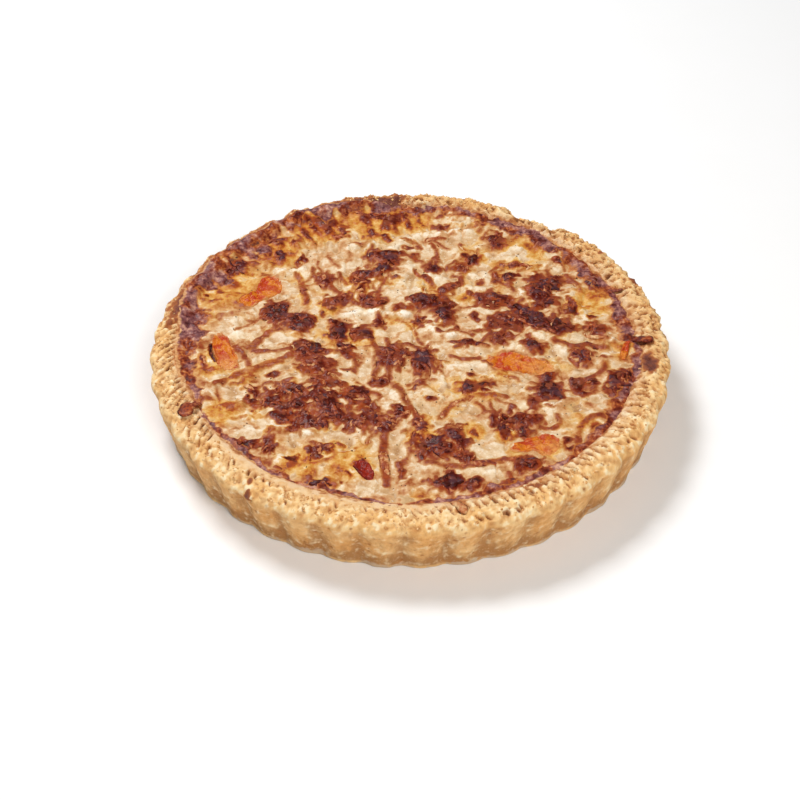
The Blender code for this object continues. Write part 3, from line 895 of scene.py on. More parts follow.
def custard_shape(shreds):
    """The custard's points, how far round each is, and what its material reads."""
    share, angle = square_to_disc(CUSTARD_SIDE)
    edge = ragged_edge(angle)
    radius = share * edge
    inward = edge - radius
    x, y, rim_z = custard_place(radius, angle)
    spots = flat_points(x, y)

    brown, dark = browning(x, y)
    relief = custard_relief(x, y)
    skin, skinned, rind = edge_skin(x, y, angle, inward)
    shred_brown, shred_rise = shred_marks(x, y, shreds)
    z = custard_height(x, y, brown, relief) + shred_rise
    crack = crack_depth(x, y)
    brown = np.maximum(brown, shred_brown) + 1.4 * bell(-0.4, 1.1, salmon_depth(x, y))
    # The open crack is painted near black: painted shade in the gap.
    brown = np.maximum(brown, 6.0 * crack - 6.0 * (crack < 0.05))

    thin = 0.02 + 0.6 * smoothstep(0.0, 4.5, inward)
    lapping = rim_z + rim_bumps(x, y) + thin + 0.35 * noise(spots, 3.5, 41)
    z += smoothstep(SHORE_RADIUS, EDGE_RADIUS + 0.5, radius) * (lapping - z)
    crinkle = 0.6 - np.abs(rough_noise(spots, 5.5, 42, 3)) + 0.5 * noise(spots, 9.0, 43)
    z += 1.1 * skinned * crinkle * smoothstep(1.0, 6.0, skin) * smoothstep(0.0, 3.0, inward)
    layers = {
        "brown": brown, "dark": np.maximum(dark, crack), "skin": skinned, "rind": rind,
        # lift: the relief, which the material paints lighter on ridges and folds as highlight and
        # darker in hollows and furrows as shade.
        "amber": amber_share(x, y), "lift": relief,
    }
    return np.stack([x, y, z], 1), angle, layers


# ------------------------------------------------------------------------------ making pieces
def add_object(name, data):
    thing = bpy.data.objects.new(name, data)
    bpy.context.scene.collection.objects.link(thing)
    return thing


def make_piece(name, points, quads, triangles, material, layers, uv=None):
    """A mesh object from points in millimetres. uv has a row for each corner of each face."""
    low, high = (np.array(corner, float) for corner in CAD_BOUNDS)
    points = np.clip(np.asarray(points, float) * MM, low, high)
    corners = np.concatenate([np.ravel(quads), np.ravel(triangles)]).astype(np.int32)
    sizes = np.array([4] * len(quads) + [3] * len(triangles), np.int32)
    mesh = bpy.data.meshes.new(name)
    mesh.vertices.add(len(points))
    mesh.vertices.foreach_set("co", points.astype(np.float32).ravel())
    mesh.loops.add(len(corners))
    mesh.loops.foreach_set("vertex_index", corners)
    mesh.polygons.add(len(sizes))
    mesh.polygons.foreach_set("loop_start", (np.cumsum(sizes) - sizes).astype(np.int32))
    mesh.update(calc_edges=True)
    mesh.validate()
    if uv is not None:
        layer = mesh.uv_layers.new(name=BAKE_MAP)
        layer.data.foreach_set("uv", np.asarray(uv, np.float32).ravel())
    for layer_name, values in layers.items():
        attribute = mesh.attributes.new(layer_name, "FLOAT", "POINT")
        attribute.data.foreach_set("value", np.asarray(values, np.float32).ravel())
    mesh.shade_smooth()
    mesh.materials.append(material)
    return add_object(name, mesh)


def assign(piece, slot, *nodes):
    """Attaches a piece to the root body and hides the CAD nodes it stands for. The slot is not used.
    """
    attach(piece, "root")
    if nodes:
        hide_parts(*nodes)


def grid_quads(grid, after):
    """Quads between a grid of point numbers and the numbers beside them, along its rows."""
    quads = np.stack([grid[:-1], grid[1:], after[1:], after[:-1]], -1)
    return quads.reshape(-1, 4)


def crust_map(columns, bands):
    """Four strips of the map hold a quarter of the wall and rim each, and a fifth two discs."""
    strip = np.arange(columns) * 4 // columns
    start = np.arange(columns) * 4 / columns - strip
    v = np.linspace(0.01, 0.19, bands)
    left, right = start[:, None] * 0.98 + 0.01, (start + 4 / columns)[:, None] * 0.98 + 0.01
    low, high = strip[:, None] * 0.2 + v[None, :-1], strip[:, None] * 0.2 + v[None, 1:]
    places = ((left, low), (right, low), (right, high), (left, high))
    wall = np.stack([np.stack(np.broadcast_arrays(*place), -1) for place in places], 2)
    turn = np.arange(columns + 1) / columns * 2 * math.pi
    ring = np.stack([np.cos(turn), np.sin(turn)], -1) * 0.09 + [0.1, 0.9]
    hub = np.tile([0.1, 0.9], (columns, 1))
    under = np.stack([hub, ring[1:], ring[:-1]], 1)
    floor = np.stack([hub, ring[:-1], ring[1:]], 1) + [0.2, 0]
    return np.concatenate([part.reshape(-1, 2) for part in (wall, under, floor)])


def make_crust(points, layers):
    """The crust, with its underside and hidden floor as fans about a middle point."""
    columns, bands = points.shape[:2]
    grid = np.arange(columns * bands).reshape(columns, bands)
    after = np.roll(grid, -1, axis=0)
    quads = np.stack([grid[:, :-1], after[:, :-1], after[:, 1:], grid[:, 1:]], -1).reshape(-1, 4)
    middle = np.full(columns, columns * bands)
    under = np.stack([middle, after[:, 0], grid[:, 0]], -1)
    floor = np.stack([middle + 1, grid[:, -1], after[:, -1]], -1)
    rows = np.vstack([points.reshape(-1, 3), [[0, 0, 0], [0, OFF_CENTRE, CRUST_SECTION[-1][1]]]])
    layers = {name: np.append(value.ravel(), [0.0, 0.0]) for name, value in layers.items()}
    fans = np.concatenate([under, floor])
    uv = crust_map(columns, bands)
    piece = make_piece("baked_crust", rows, quads, fans, crust_material(), layers, uv)
    assign(piece, "pastry", "crust")


def custard_map(corners, hidden):
    """The map looks straight down. Hidden faces share a strip at its edge."""
    map_width, strip_top, per_millimetre = 262.0, 0.497, 0.0006
    flat = corners[:, :2] / map_width + 0.5
    turn = polar(corners[:, 0], corners[:, 1])[1]
    out = strip_top - per_millimetre * (30 - corners[:, 2])
    strip = np.stack([np.cos(turn), np.sin(turn)], 1) * out[:, None] + 0.5
    return np.where(hidden[:, None], strip, flat)


def make_custard(shreds):
    """The custard, whose edge turns down into the crust, with a hidden wall and floor."""
    points, angle, layers = custard_shape(shreds)
    side = CUSTARD_SIDE
    grid = np.arange(side * side).reshape(side, side)
    quads = [grid_quads(grid[:, :-1], grid[:, 1:])]
    rim = np.concatenate([grid[:-1, 0], grid[-1, :-1], grid[:0:-1, -1], grid[0, :0:-1]])
    turn = angle[rim]
    rows = [points, points[rim] * [0.9985, 0.9985, 1.0] - [0, 0, EDGE_THICKNESS]]
    for radius, height in HIDDEN_WALL:
        x, y = radius * np.cos(turn), radius * np.sin(turn) + OFF_CENTRE
        rows.append(flat_points(x, y, height))
    rings = [rim] + [len(points) + len(rim) * k + np.arange(len(rim)) for k in range(3)]
    for upper, lower in zip(rings, rings[1:]):
        quads.append(np.stack([upper, lower, np.roll(lower, -1), np.roll(upper, -1)], -1))
    quads = np.concatenate(quads)
    last = rings[-1]
    base = np.stack([np.roll(last, -1), last, np.full(len(rim), last[-1] + 1)], -1)
    rows = np.vstack(rows + [[[0.0, OFF_CENTRE, HIDDEN_WALL[-1][1]]]])
    layers = {
        name: np.concatenate([value, np.tile(value[rim], 3), [0.0]])
        for name, value in layers.items()
    }
    corners = np.concatenate([quads.ravel(), base.ravel()])
    uv = custard_map(rows[corners], np.arange(len(corners)) >= 4 * (side - 1) ** 2)
    piece = make_piece("baked_custard", rows, quads, base, custard_material(), layers, uv)
    assign(piece, "custard", "filling")


# --------------------------------------------------------------------------------- the shreds
def surface_height(x, y):
    """The custard's or rim's height under a shred."""
    height = custard_height(x, y, browning(x, y)[0], custard_relief(x, y))
    radius, angle = polar(x, y)
    rim_radius = np.maximum(radius, RIM_START)
    for _ in range(3):
        rim_x, rim_y, _ = rim_surface(rim_radius, angle)
        short = np.hypot(x, y) - np.hypot(rim_x, rim_y)
        rim_radius = rim_radius + np.where(radius > RIM_START, short, 0.0)
    _, _, rim_z = rim_surface(np.clip(rim_radius, RIM_START, 128.0), angle)
    climb = smoothstep(SHORE_RADIUS, EDGE_RADIUS + 0.5, radius)
    return height + climb * (rim_z + rim_bumps(x, y) + 0.5 - height)


def wandering_shred(draw, x, y, length, heading):
    """A shred's middle line: it starts along heading and bends a little as it goes."""
    steps = np.full(SHRED_STEPS, length / (SHRED_STEPS - 1))
    curl = draw.normal(0, 0.6) / length
    twist = draw.normal(0, 0.9) / length**2
    travelled = np.cumsum(steps) - length / 2
    turn = heading + curl * 2 * travelled + twist * 2 * travelled**2
    line = np.stack([np.cumsum(steps * np.cos(turn)), np.cumsum(steps * np.sin(turn))], 1)
    return line - line.mean(axis=0) + [x, y]


def tangle_shreds(draw):
    """Random shreds that fill the browned patches, as (line, width, tone)."""
    shreds = []
    for x, y, width, height, degrees, dark in PATCHES:
        heading = draw.uniform(0, math.pi)
        for _ in range(int(round(math.pi / 4 * width * height / 14.0))):
            spread = math.sqrt(draw.random()) * 0.47
            turn = draw.uniform(0, 2 * math.pi)
            beside, up = width * spread * math.cos(turn), height * spread * math.sin(turn)
            dx, dy = turned(beside, up, -degrees)
            length = draw.uniform(4.5, 13.0)
            line = wandering_shred(draw, x + dx, y + dy, length, heading + draw.normal(0, 1.0))
            tone = max(0.28 + 0.38 * dark + draw.normal(0, 0.15), 0.30)
            shreds.append((line, draw.uniform(1.4, 3.0), tone))
    return shreds


def loose_shreds(draw):
    """Shreds between the patches and round the custard, most of them sunk and pale."""
    shreds = []
    for _ in range(80):
        radius, turn = 102.0 * math.sqrt(draw.random()), draw.uniform(0, 2 * math.pi)
        x, y = radius * math.cos(turn), radius * math.sin(turn) + OFF_CENTRE
        length, heading = draw.uniform(6.0, 15.0), draw.uniform(0, math.pi)
        line = wandering_shred(draw, x, y, length, heading)
        shreds.append((line, draw.uniform(1.5, 2.5), draw.uniform(0.0, 0.45)))
    return shreds


def over_brown(shreds):
    """The shreds that lie over browned custard, not over a pale gap."""
    lines = np.array([line for line, _, _ in shreds])
    brown = browning(lines[..., 0], lines[..., 1])[0]
    kept = (brown.mean(axis=1) > -1.2) & (brown[:, SHRED_STEPS // 2] > -1.2)
    return [shred for shred, keep in zip(shreds, kept) if keep]


def kept_inside(line):
    """The line, moved inwards where it would come within 2.5 mm of the custard's edge."""
    radius, angle = polar(line[:, 0], line[:, 1])
    over = radius - edge_radius(angle) + 2.5
    k = np.argmax(over)
    return line - max(over[k], 0.0) * (line[k] - [0, OFF_CENTRE]) / radius[k]


def all_shreds():
    """Every shred as (line, width, tone), with its line a little wobbly."""
    draw = np.random.default_rng(SHRED_SEED)
    shreds = over_brown(tangle_shreds(draw)) + loose_shreds(draw)
    shreds = [(kept_inside(line), width, tone) for line, width, tone in shreds]
    for width, tone, *points in LONG_SHREDS + RIM_SHREDS:
        shreds.append((spline(points, SHRED_STEPS), width, tone + draw.uniform(-0.04, 0.04)))
    lines = np.array([line for line, _, _ in shreds])
    spots = flat_points(lines[..., 0], lines[..., 1])
    lines = lines + 0.5 * np.stack([noise(spots, 5.0, 91), noise(spots, 5.0, 92)], -1)
    return [(line, width, tone) for line, (_, width, tone) in zip(lines, shreds)]


def shred_sizes(draw, lines, widths, crowd):
    """(half width, half height, taper) along each shred."""
    spots = flat_points(lines[..., 0], lines[..., 1])
    along = np.linspace(0, 1, SHRED_STEPS)
    blunt = draw.uniform(2.0, 6.0, (len(lines), 1))
    taper = np.clip(1.0 - np.abs(2 * along - 1) ** blunt, 0.06, 1.0) ** 0.6
    uneven = taper * (1.0 + 0.26 * noise(spots, 4.2, 93) + 0.16 * noise(spots, 2.2, 95))
    half_height = np.clip(widths * 0.24, 0.42, 0.85) * uneven * (0.7 + 0.3 * crowd)
    return widths * 0.58 * uneven, half_height, taper


def shred_centres(draw, lines, tones, crowd):
    """The height of each shred's middle line: sunk in cream, raised over brown and the rim."""
    x, y = lines[..., 0], lines[..., 1]
    height = surface_height(x.ravel(), y.ravel()).reshape(x.shape)
    lift = draw.uniform(-0.30, -0.02, (len(lines), 1)) + 0.25 * crowd
    swings, start = draw.uniform(2, 7, (len(lines), 1)), draw.uniform(0, 6, (len(lines), 1))
    lift = lift + 0.15 * np.sin(np.linspace(0, 1, SHRED_STEPS) * swings + start)
    sunk = np.where(tones < 0.3, -0.3, 0.0)
    under = smoothstep(-0.8, 1.2, salmon_depth(x.ravel(), y.ravel())).reshape(x.shape)
    radius, angle = polar(x, y)
    on_rim = smoothstep(0.0, 2.5, radius - edge_radius(angle))
    return height + lift + sunk - 2.0 * under + 0.9 * on_rim


def shred_points(lines, centre, half_width, half_height, taper):
    """Rings of points round each shred's middle line."""
    direction = np.gradient(lines, axis=1)
    direction /= np.linalg.norm(direction, axis=2)[..., None] + 1e-9
    beside = np.stack([-direction[..., 1], direction[..., 0]], -1)
    turn = even_turn(SHRED_SIDES)
    across, upward = half_width[..., None] * np.cos(turn), half_height[..., None] * np.sin(turn)
    flat = lines[:, :, None] + beside[:, :, None] * across[..., None]
    points = np.concatenate([flat, (centre[..., None] + upward)[..., None]], -1)
    points[..., 2] += 0.20 * noise(points, 2.2, 94) * taper[..., None]
    return points


def shred_faces(count):
    """The quads along every shred, and the fans that close its two ends."""
    grid = np.arange(count * SHRED_STEPS * SHRED_SIDES).reshape(count, SHRED_STEPS, SHRED_SIDES)
    after = np.roll(grid, -1, axis=2)
    quads = np.stack([grid[:, :-1], grid[:, 1:], after[:, 1:], after[:, :-1]], -1)
    fans = []
    for k in range(1, SHRED_SIDES - 1):
        fans.append(np.stack([grid[:, 0, 0], grid[:, 0, k], grid[:, 0, k + 1]], -1))
        fans.append(np.stack([grid[:, -1, 0], grid[:, -1, k + 1], grid[:, -1, k]], -1))
    return quads.reshape(-1, 4), np.concatenate(fans)


def shred_map(count, fans):
    """Each shred is unrolled into its own cell of the map."""
    cells = math.ceil(math.sqrt(count))
    number = np.arange(count)[:, None, None]
    along = np.linspace(0, 1, SHRED_STEPS)[None, :, None]
    around = (np.arange(SHRED_SIDES + 1) / SHRED_SIDES)[None, None, :]
    u = (number % cells + 0.08 + 0.84 * along) / cells
    v = (number // cells + 0.08 + 0.84 * around) / cells
    place = np.stack(np.broadcast_arrays(u, v), -1)
    uv = np.stack(
        [place[:, :-1, :-1], place[:, 1:, :-1], place[:, 1:, 1:], place[:, :-1, 1:]], 3
    )
    fan_uv = place[:, :, :-1].reshape(-1, 2)[fans.ravel()]
    return np.concatenate([uv.reshape(-1, 2), fan_uv])


def make_shreds(shreds):
    """The melted shreds of cheese that lie on the custard."""
    draw = np.random.default_rng(SHRED_SIZE_SEED)
    lines, widths, tones = (np.array(part) for part in zip(*shreds))
    crowd = smoothstep(-1.5, 1.5, browning(lines[..., 0], lines[..., 1])[0])
    half_width, half_height, taper = shred_sizes(draw, lines, widths[:, None], crowd)
    centre = shred_centres(draw, lines, tones[:, None], crowd)
    points = shred_points(lines, centre, half_width, half_height, taper)
    quads, fans = shred_faces(len(shreds))
    brown, dark = browning(points[..., 0], points[..., 1])
    layers = {
        "tone": tones[:, None, None] + 0.25 * (dark - 0.5) * smoothstep(-1, 2, brown),
        # edge: 1 on each shred's sides, 0 on its top and bottom; the material paints the sides
        # darker, partly as browner edges and partly as painted shade, and the top lighter as painted
        # highlight.
        "edge": np.abs(np.cos(even_turn(SHRED_SIDES))) * (0.25 + 0.75 * smoothstep(-1.5, 1.5, brown)),
    }
    uv = shred_map(len(shreds), fans)
    rows = points.reshape(-1, 3)
    piece = make_piece("cheese_shreds", rows, quads, fans, shred_material(), layers, uv)
    assign(piece, "custard")


# --------------------------------------------------------------------------------- the salmon
def flake_faces():
    """(upper, lower, wall, fans) of a flake: rings of points round a middle point, twice."""
    hub = FLAKE_RINGS * FLAKE_SIDES
    below = hub + 1
    grid = np.arange(hub).reshape(FLAKE_RINGS, FLAKE_SIDES)
    after = np.roll(grid, -1, axis=1)
    upper = grid_quads(grid, after)
    wall = np.stack([grid[-1], grid[-1] + below, after[-1] + below, after[-1]], -1)
    fan = np.stack([np.full(FLAKE_SIDES, hub), grid[0], after[0]], -1)
    return upper, upper[:, ::-1] + below, wall, np.concatenate([fan, fan[:, ::-1] + below])


def flake_map(x, y, upper, lower, wall, fans):
    """The top is mapped from above on the left of the map, and the rest on its right."""
    size = max(np.ptp(x), np.ptp(y)) * 1.04
    u, v = (x - x.min()) / size * 0.48 + 0.01, (y - y.min()) / size * 0.98 + 0.01
    corner = np.concatenate([part.ravel() for part in (upper, lower, wall, fans)]) % len(x)
    counts = (upper.size, lower.size + wall.size, fans.size // 2, fans.size // 2)
    uv = np.stack([u[corner] + np.repeat([0.0, 0.5, 0.0, 0.5], counts), v[corner]], 1)
    start = upper.size + lower.size
    uv[start : start + wall.size, 1] += np.tile([0, 0.004, 0.004, 0], len(wall))
    return uv


def flake_grain(along, across, spots, seed):
    """(fibre, seam): fibres run along the flake, and a few shallow seams cross them aslant."""
    strands = np.stack([along * 0.22, across, 0 * along + seed], -1)
    fibre = noise(strands + 0.25 * noise(spots, 5.0, seed + 1)[:, None], 1.5, seed + 2)
    aslant = flat_points(along + 0.6 * across, across * 0.2)
    return fibre, smoothstep(0.12, 0.0, np.abs(noise(aslant, 8.0, seed + 3)))


def make_salmon(node, browned, pale_angle, pale_share, *outline):
    """A ragged flake of salmon, sunk in the custard, in the place of its CAD node."""
    seed = int(node[-1]) * 7
    loop = closed_curve(outline, FLAKE_SIDES)
    middle = loop.mean(axis=0)
    ragged = rough_noise(flat_points(loop[:, 0], loop[:, 1], seed), 2.6, seed, 3)
    reach = (loop - middle) * (1.0 + 0.07 * ragged)[:, None]
    share = np.sqrt(np.linspace(0.0, 1.0, FLAKE_RINGS + 1)[1:])
    inner = np.append(np.repeat(share, FLAKE_SIDES), 0.0)
    dx, dy = (np.append(np.outer(share, reach[:, c]), 0.0) for c in (0, 1))
    x, y = middle[0] + dx, middle[1] + dy
    spots = flat_points(x, y, seed)

    longer = np.linalg.svd(reach, full_matrices=False)[2][0]
    along, across = turned(dx, dy, math.degrees(math.atan2(longer[1], longer[0])))
    fibre, seam = flake_grain(along, across, spots, seed)
    lumps = rough_noise(spots, 5.0, seed + 4, 3)
    level = surface_height(x, y)
    rise = 1.7 * (1.0 - inner**5) ** 0.7 + 0.45 * lumps * (1 - inner**4)
    top = level + rise + 0.20 * fibre - 0.15 * seam - 0.9 * inner**8
    bottom = level - 1.6 - 0.4 * (1 - inner)
    points = np.concatenate([np.stack([x, y, top], 1), np.stack([x, y, bottom], 1)])

    ahead = turned(dx, dy, pale_angle)[0]
    ahead = ahead / np.abs(ahead).max()
    charred = inner**10 * smoothstep(-0.5, 0.5, noise(spots, 7.0, seed + 5))
    layers = {
        "fibre": fibre,
        "seam": seam,
        "burnt": browned + 0.25 * lumps + 0.55 * charred,
        "pale": pale_share * smoothstep(-0.2, 0.9, ahead + 0.4 * lumps),
        "sunk": smoothstep(0.80, 1.0, inner + 0.12 * lumps),
    }
    layers = {name: np.tile(value, 2) for name, value in layers.items()}
    upper, lower, wall, fans = flake_faces()
    quads = np.concatenate([upper, lower, wall])
    uv = flake_map(x, y, upper, lower, wall, fans)
    piece = make_piece(node + "_flake", points, quads, fans, salmon_material(), layers, uv)
    assign(piece, "salmon", node)


# ---------------------------------------------------------------------------- specks and crumbs
def make_bits(name, centres, sizes, flatness, material, seed):
    """Many small uneven lumps as one mesh, each at a centre with its own size."""
    draw = np.random.default_rng(seed)
    golden = (1 + 5**0.5) / 2
    solid = np.array(
        [(-1, golden, 0), (1, golden, 0), (-1, -golden, 0), (1, -golden, 0)]
        + [(0, -1, golden), (0, 1, golden), (0, -1, -golden), (0, 1, -golden)]
        + [(golden, 0, -1), (golden, 0, 1), (-golden, 0, -1), (-golden, 0, 1)]
    ) / math.hypot(1, golden)
    faces = np.array(
        [(0, 11, 5), (0, 5, 1), (0, 1, 7), (0, 7, 10), (0, 10, 11), (1, 5, 9), (5, 11, 4)]
        + [(11, 10, 2), (10, 7, 6), (7, 1, 8), (3, 9, 4), (3, 4, 2), (3, 2, 6), (3, 6, 8)]
        + [(3, 8, 9), (4, 9, 5), (2, 4, 11), (6, 2, 10), (8, 6, 7), (9, 8, 1)]
    )
    count = len(centres)
    lumps = solid[None] * draw.uniform(0.7, 1.25, (count, 12, 1))
    lumps = lumps * draw.uniform(0.6, 1.4, (count, 1, 3)) * [1, 1, flatness]
    turn = draw.uniform(0, 2 * math.pi, (count, 1))
    x = lumps[..., 0] * np.cos(turn) - lumps[..., 1] * np.sin(turn)
    y = lumps[..., 0] * np.sin(turn) + lumps[..., 1] * np.cos(turn)
    points = np.stack([x, y, lumps[..., 2]], -1) * sizes[:, None, None] + centres[:, None, :]
    triangles = (faces[None] + 12 * np.arange(count)[:, None, None]).reshape(-1, 3)
    layers = {"shade": np.repeat(draw.random(count), 12)}
    return make_piece(name, points.reshape(-1, 3), [], triangles, material, layers)


def make_herbs():
    """Pepper and herb specks sprinkled over the custard."""
    draw = np.random.default_rng(HERB_SEED)
    radius = 104.0 * np.sqrt(draw.random(HERBS))
    turn = draw.uniform(0, 2 * math.pi, HERBS)
    x, y = radius * np.cos(turn), radius * np.sin(turn) + OFF_CENTRE
    centres = np.stack([x, y, surface_height(x, y) + 0.05], 1)
    sizes = draw.uniform(0.18, 0.48, HERBS)
    bits = make_bits("herb_specks", centres, sizes, 0.5, herb_material(), HERB_SHAPE_SEED)
    assign(bits, "custard")


def make_crumbs(crust_points):
    """Loose crumbs of pastry along the rim's top."""
    draw = np.random.default_rng(CRUMB_SEED)
    rim = (SECTION[:, 0] > 116.0) & (SECTION[:, 0] < 128.0) & (SECTION[:, 1] > 30.0)
    columns = draw.integers(len(crust_points), size=CRUMBS)
    centres = crust_points[columns, draw.choice(np.flatnonzero(rim), CRUMBS)]
    x, y = centres[:, 0], centres[:, 1]
    turn = np.arctan2(y, x)
    keep = (np.hypot(x, y) > edge_radius(turn) + 1.0) & (away_from(turn, BROKEN) > 9.5)
    for stain_x, stain_y, width, height, _ in RIM_STAINS:
        keep &= np.hypot((x - stain_x) / width, (y - stain_y) / height) > 0.75
    centres = centres[keep] + [0.0, 0.0, 0.05]
    sizes = draw.uniform(0.3, 0.8, len(centres))
    bits = make_bits("rim_crumbs", centres, sizes, 0.8, crumb_material(), CRUMB_SHAPE_SEED)
    assign(bits, "pastry")


# ---------------------------------------------------------------------------------- materials
def srgb(red, green, blue):
    """A colour from its 0 to 255 values, as the linear colour that a shader takes."""
    shares = [value / 255.0 for value in (red, green, blue)]
    linear = [s / 12.92 if s <= 0.04045 else ((s + 0.055) / 1.055) ** 2.4 for s in shares]
    return (*linear, 1.0)


class Shader:
    """A material's nodes, added one at a time. Values may be numbers or other nodes' outputs,
    and colours may also be (red, green, blue) from 0 to 255."""

    def __init__(self, name, roughness, specular):
        self.material = bpy.data.materials.new(name)
        self.material.use_nodes = True
        self.tree = self.material.node_tree
        self.surface = self.tree.nodes["Principled BSDF"]
        self.put(self.surface, {"Roughness": roughness, "Specular IOR Level": specular})
        self.place = self.node("TexCoord", "Object")

    def put(self, node, values):
        for name, value in values.items():
            if isinstance(value, bpy.types.NodeSocket):
                self.tree.links.new(value, node.inputs[name])
            elif value is not None:
                node.inputs[name].default_value = value

    def node(self, kind, output, values=None, **settings):
        """The output of a new node with these settings and values."""
        node = self.tree.nodes.new("ShaderNode" + kind)
        for name, setting in settings.items():
            setattr(node, name, setting)
        self.put(node, values or {})
        return node.outputs[output]

    def attributes(self, *names):
        return [self.node("Attribute", "Fac", attribute_name=name) for name in names]

    def height(self):
        """How high each point is, in millimetres."""
        return self.math("DIVIDE", self.node("SeparateXYZ", "Z", {"Vector": self.place}), MM)

    def noise(self, size, detail=3.0, roughness=0.55, stretch=None):
        """Noise of this bump size in millimetres, from 0 to 1."""
        place = self.place
        if stretch:
            place = self.node("Mapping", "Vector", {"Vector": place, "Scale": stretch})
        values = {"Vector": place, "Scale": 1.0 / (size * MM)}
        return self.node("TexNoise", "Fac", {**values, "Detail": detail, "Roughness": roughness})

    def math(self, operation, first, second):
        return self.node("Math", "Value", {0: first, 1: second}, operation=operation)

    def add(self, first, second):
        return self.math("ADD", first, second)

    def times(self, first, second):
        return self.math("MULTIPLY", first, second)

    def step(self, value, low, high, at_low=0.0, at_high=1.0):
        """at_low below low, at_high above high, and a smooth change between."""
        values = {"Value": value, "From Min": low, "From Max": high}
        values.update({"To Min": at_low, "To Max": at_high})
        return self.node("MapRange", "Result", values, interpolation_type="SMOOTHSTEP")

    def shift(self, value, uneven, low, high, at_low, at_high):
        """The value with a step of something uneven added."""
        return self.add(value, self.step(uneven, low, high, at_low, at_high))

    def mix(self, share, first, second):
        first, second = (srgb(*c) if isinstance(c, tuple) else c for c in (first, second))
        return self.node("Mix", 2, {"Factor": share, 6: first, 7: second}, data_type="RGBA")

    def tint(self, color, *rows):
        """The colour with each row's (value, low, high, most, red, green, blue) mixed into it."""
        for value, low, high, most, *rgb in rows:
            color = self.mix(self.step(value, low, high, 0.0, most), color, tuple(rgb))
        return color

    def ramp(self, value, *stops):
        """A colour for each value between stops of (position, red, green, blue)."""
        low, high = stops[0][0], stops[-1][0]
        node = self.tree.nodes.new("ShaderNodeValToRGB")
        elements = node.color_ramp.elements
        for k, (position, *rgb) in enumerate(stops):
            share = (position - low) / (high - low)
            element = elements[k] if k < 2 else elements.new(share)
            element.position = share
            element.color = srgb(*rgb)
        values = {"Value": value, "From Min": low, "From Max": high}
        self.put(node, {"Fac": self.node("MapRange", "Result", values)})
        return node.outputs["Color"]

    def bump(self, height, distance, strength=1.0):
        values = {"Height": height, "Distance": distance * MM, "Strength": strength}
        return self.node("Bump", "Normal", values)

    def finish(self, color, roughness=None, normal=None):
        self.put(self.surface, {"Base Color": color, "Roughness": roughness, "Normal": normal})
        return self.material


def pastry_color(s, broad, middle, height):
    """The bare pastry, floury at its foot; painted shade darkens its pits, flute valleys and lower
    wall, and painted highlight lightens its high crumbs.
    """
    fine = s.noise(1.1, 4.0)
    pit, valley, wall, inner, relief = s.attributes("pit", "valley", "wall", "inner", "relief")
    top = s.mix(s.step(broad, 0.35, 0.65), (249, 213, 155), (243, 193, 125))
    side = s.mix(s.step(broad, 0.35, 0.65), (242, 197, 136), (231, 171, 102))
    color = s.mix(wall, top, side)
    softer = s.times(inner, s.step(middle, 0.3, 0.6, 0.9, 0.4))
    color = s.mix(softer, color, (238, 202, 164))
    color = s.tint(color, (middle, 0.42, 0.72, 0.6, 216, 154, 88))
    # Painted shade: the wall is darker in the valleys between the flutes and towards its foot.
    shade = s.shift(valley, s.noise(5.0, 3.0, 0.6, (1.0, 1.0, 0.25)), 0.36, 0.70, -0.25, 0.40)
    shade = s.add(shade, s.times(s.step(height, 15.0, 2.0, 0.0, 1.1), wall))
    color = s.mix(s.times(s.step(shade, -0.1, 1.2, 0.0, 0.85), wall), color, (172, 118, 68))
    freckles = s.times(s.step(fine, 0.54, 0.72, 0.0, 0.35), wall)
    color = s.mix(freckles, color, (164, 110, 62))
    floury = s.shift(height, middle, 0.2, 0.8, 2.2, -2.2)
    floury = s.shift(floury, broad, 0.3, 0.7, 1.8, -1.8)
    return s.tint(
        color,
        (fine, 0.42, 0.30, 0.45, 248, 218, 168),
        # The relief rows paint shade where the relief is low and highlight where it is high.
        (relief, 0.1, -0.9, 0.75, 190, 128, 72),
        (relief, 0.0, 0.6, 0.85, 255, 236, 194),
        # The pit rows paint shade in the slits, holes and crimp grooves.
        (pit, 0.15, 0.8, 0.85, 172, 106, 56),
        (pit, 0.7, 1.2, 0.85, 104, 56, 30),
        (floury, 2.8, 0.8, 0.8, 208, 184, 156),
    )


def crust_material():
    s = Shader("golden_pastry", 0.8, 0.2)
    broad, middle, height = s.noise(14.0), s.noise(4.0), s.height()
    color = pastry_color(s, broad, middle, height)
    (stain,) = s.attributes("stain")
    browned = s.shift(stain, middle, 0.3, 0.7, -0.12, 0.12)
    burnt = s.ramp(
        browned,
        (0.20, 206, 134, 72), (0.50, 164, 94, 54), (0.80, 122, 66, 50), (1.10, 88, 44, 38),
    )
    color = s.mix(s.step(browned, 0.12, 0.45), color, burnt)
    under = s.step(height, 0.35, 0.05)
    color = s.mix(s.times(under, 0.6), color, (214, 176, 128))
    normal = s.bump(s.add(s.noise(0.8, 5.0, 0.65), s.times(middle, 0.8)), 0.6, 0.9)
    return s.finish(color, s.step(browned, 0.3, 0.8, 0.82, 0.4), normal)


def rust_and_sheen(s, color, share):
    """Rusty patches, as where browned cheese is thin, and purple patches of painted sheen that stand
    in for the light reflected by shiny cheese.
    """
    warm = s.step(s.noise(7.0, 2.0), 0.50, 0.60, 0.0, 0.5)
    color = s.mix(s.times(warm, share), color, (170, 76, 30))
    sheen_patches = s.step(s.noise(3.6, 3.0), 0.52, 0.62, 0.0, 0.5)
    return s.mix(s.times(sheen_patches, share), color, (100, 58, 58))


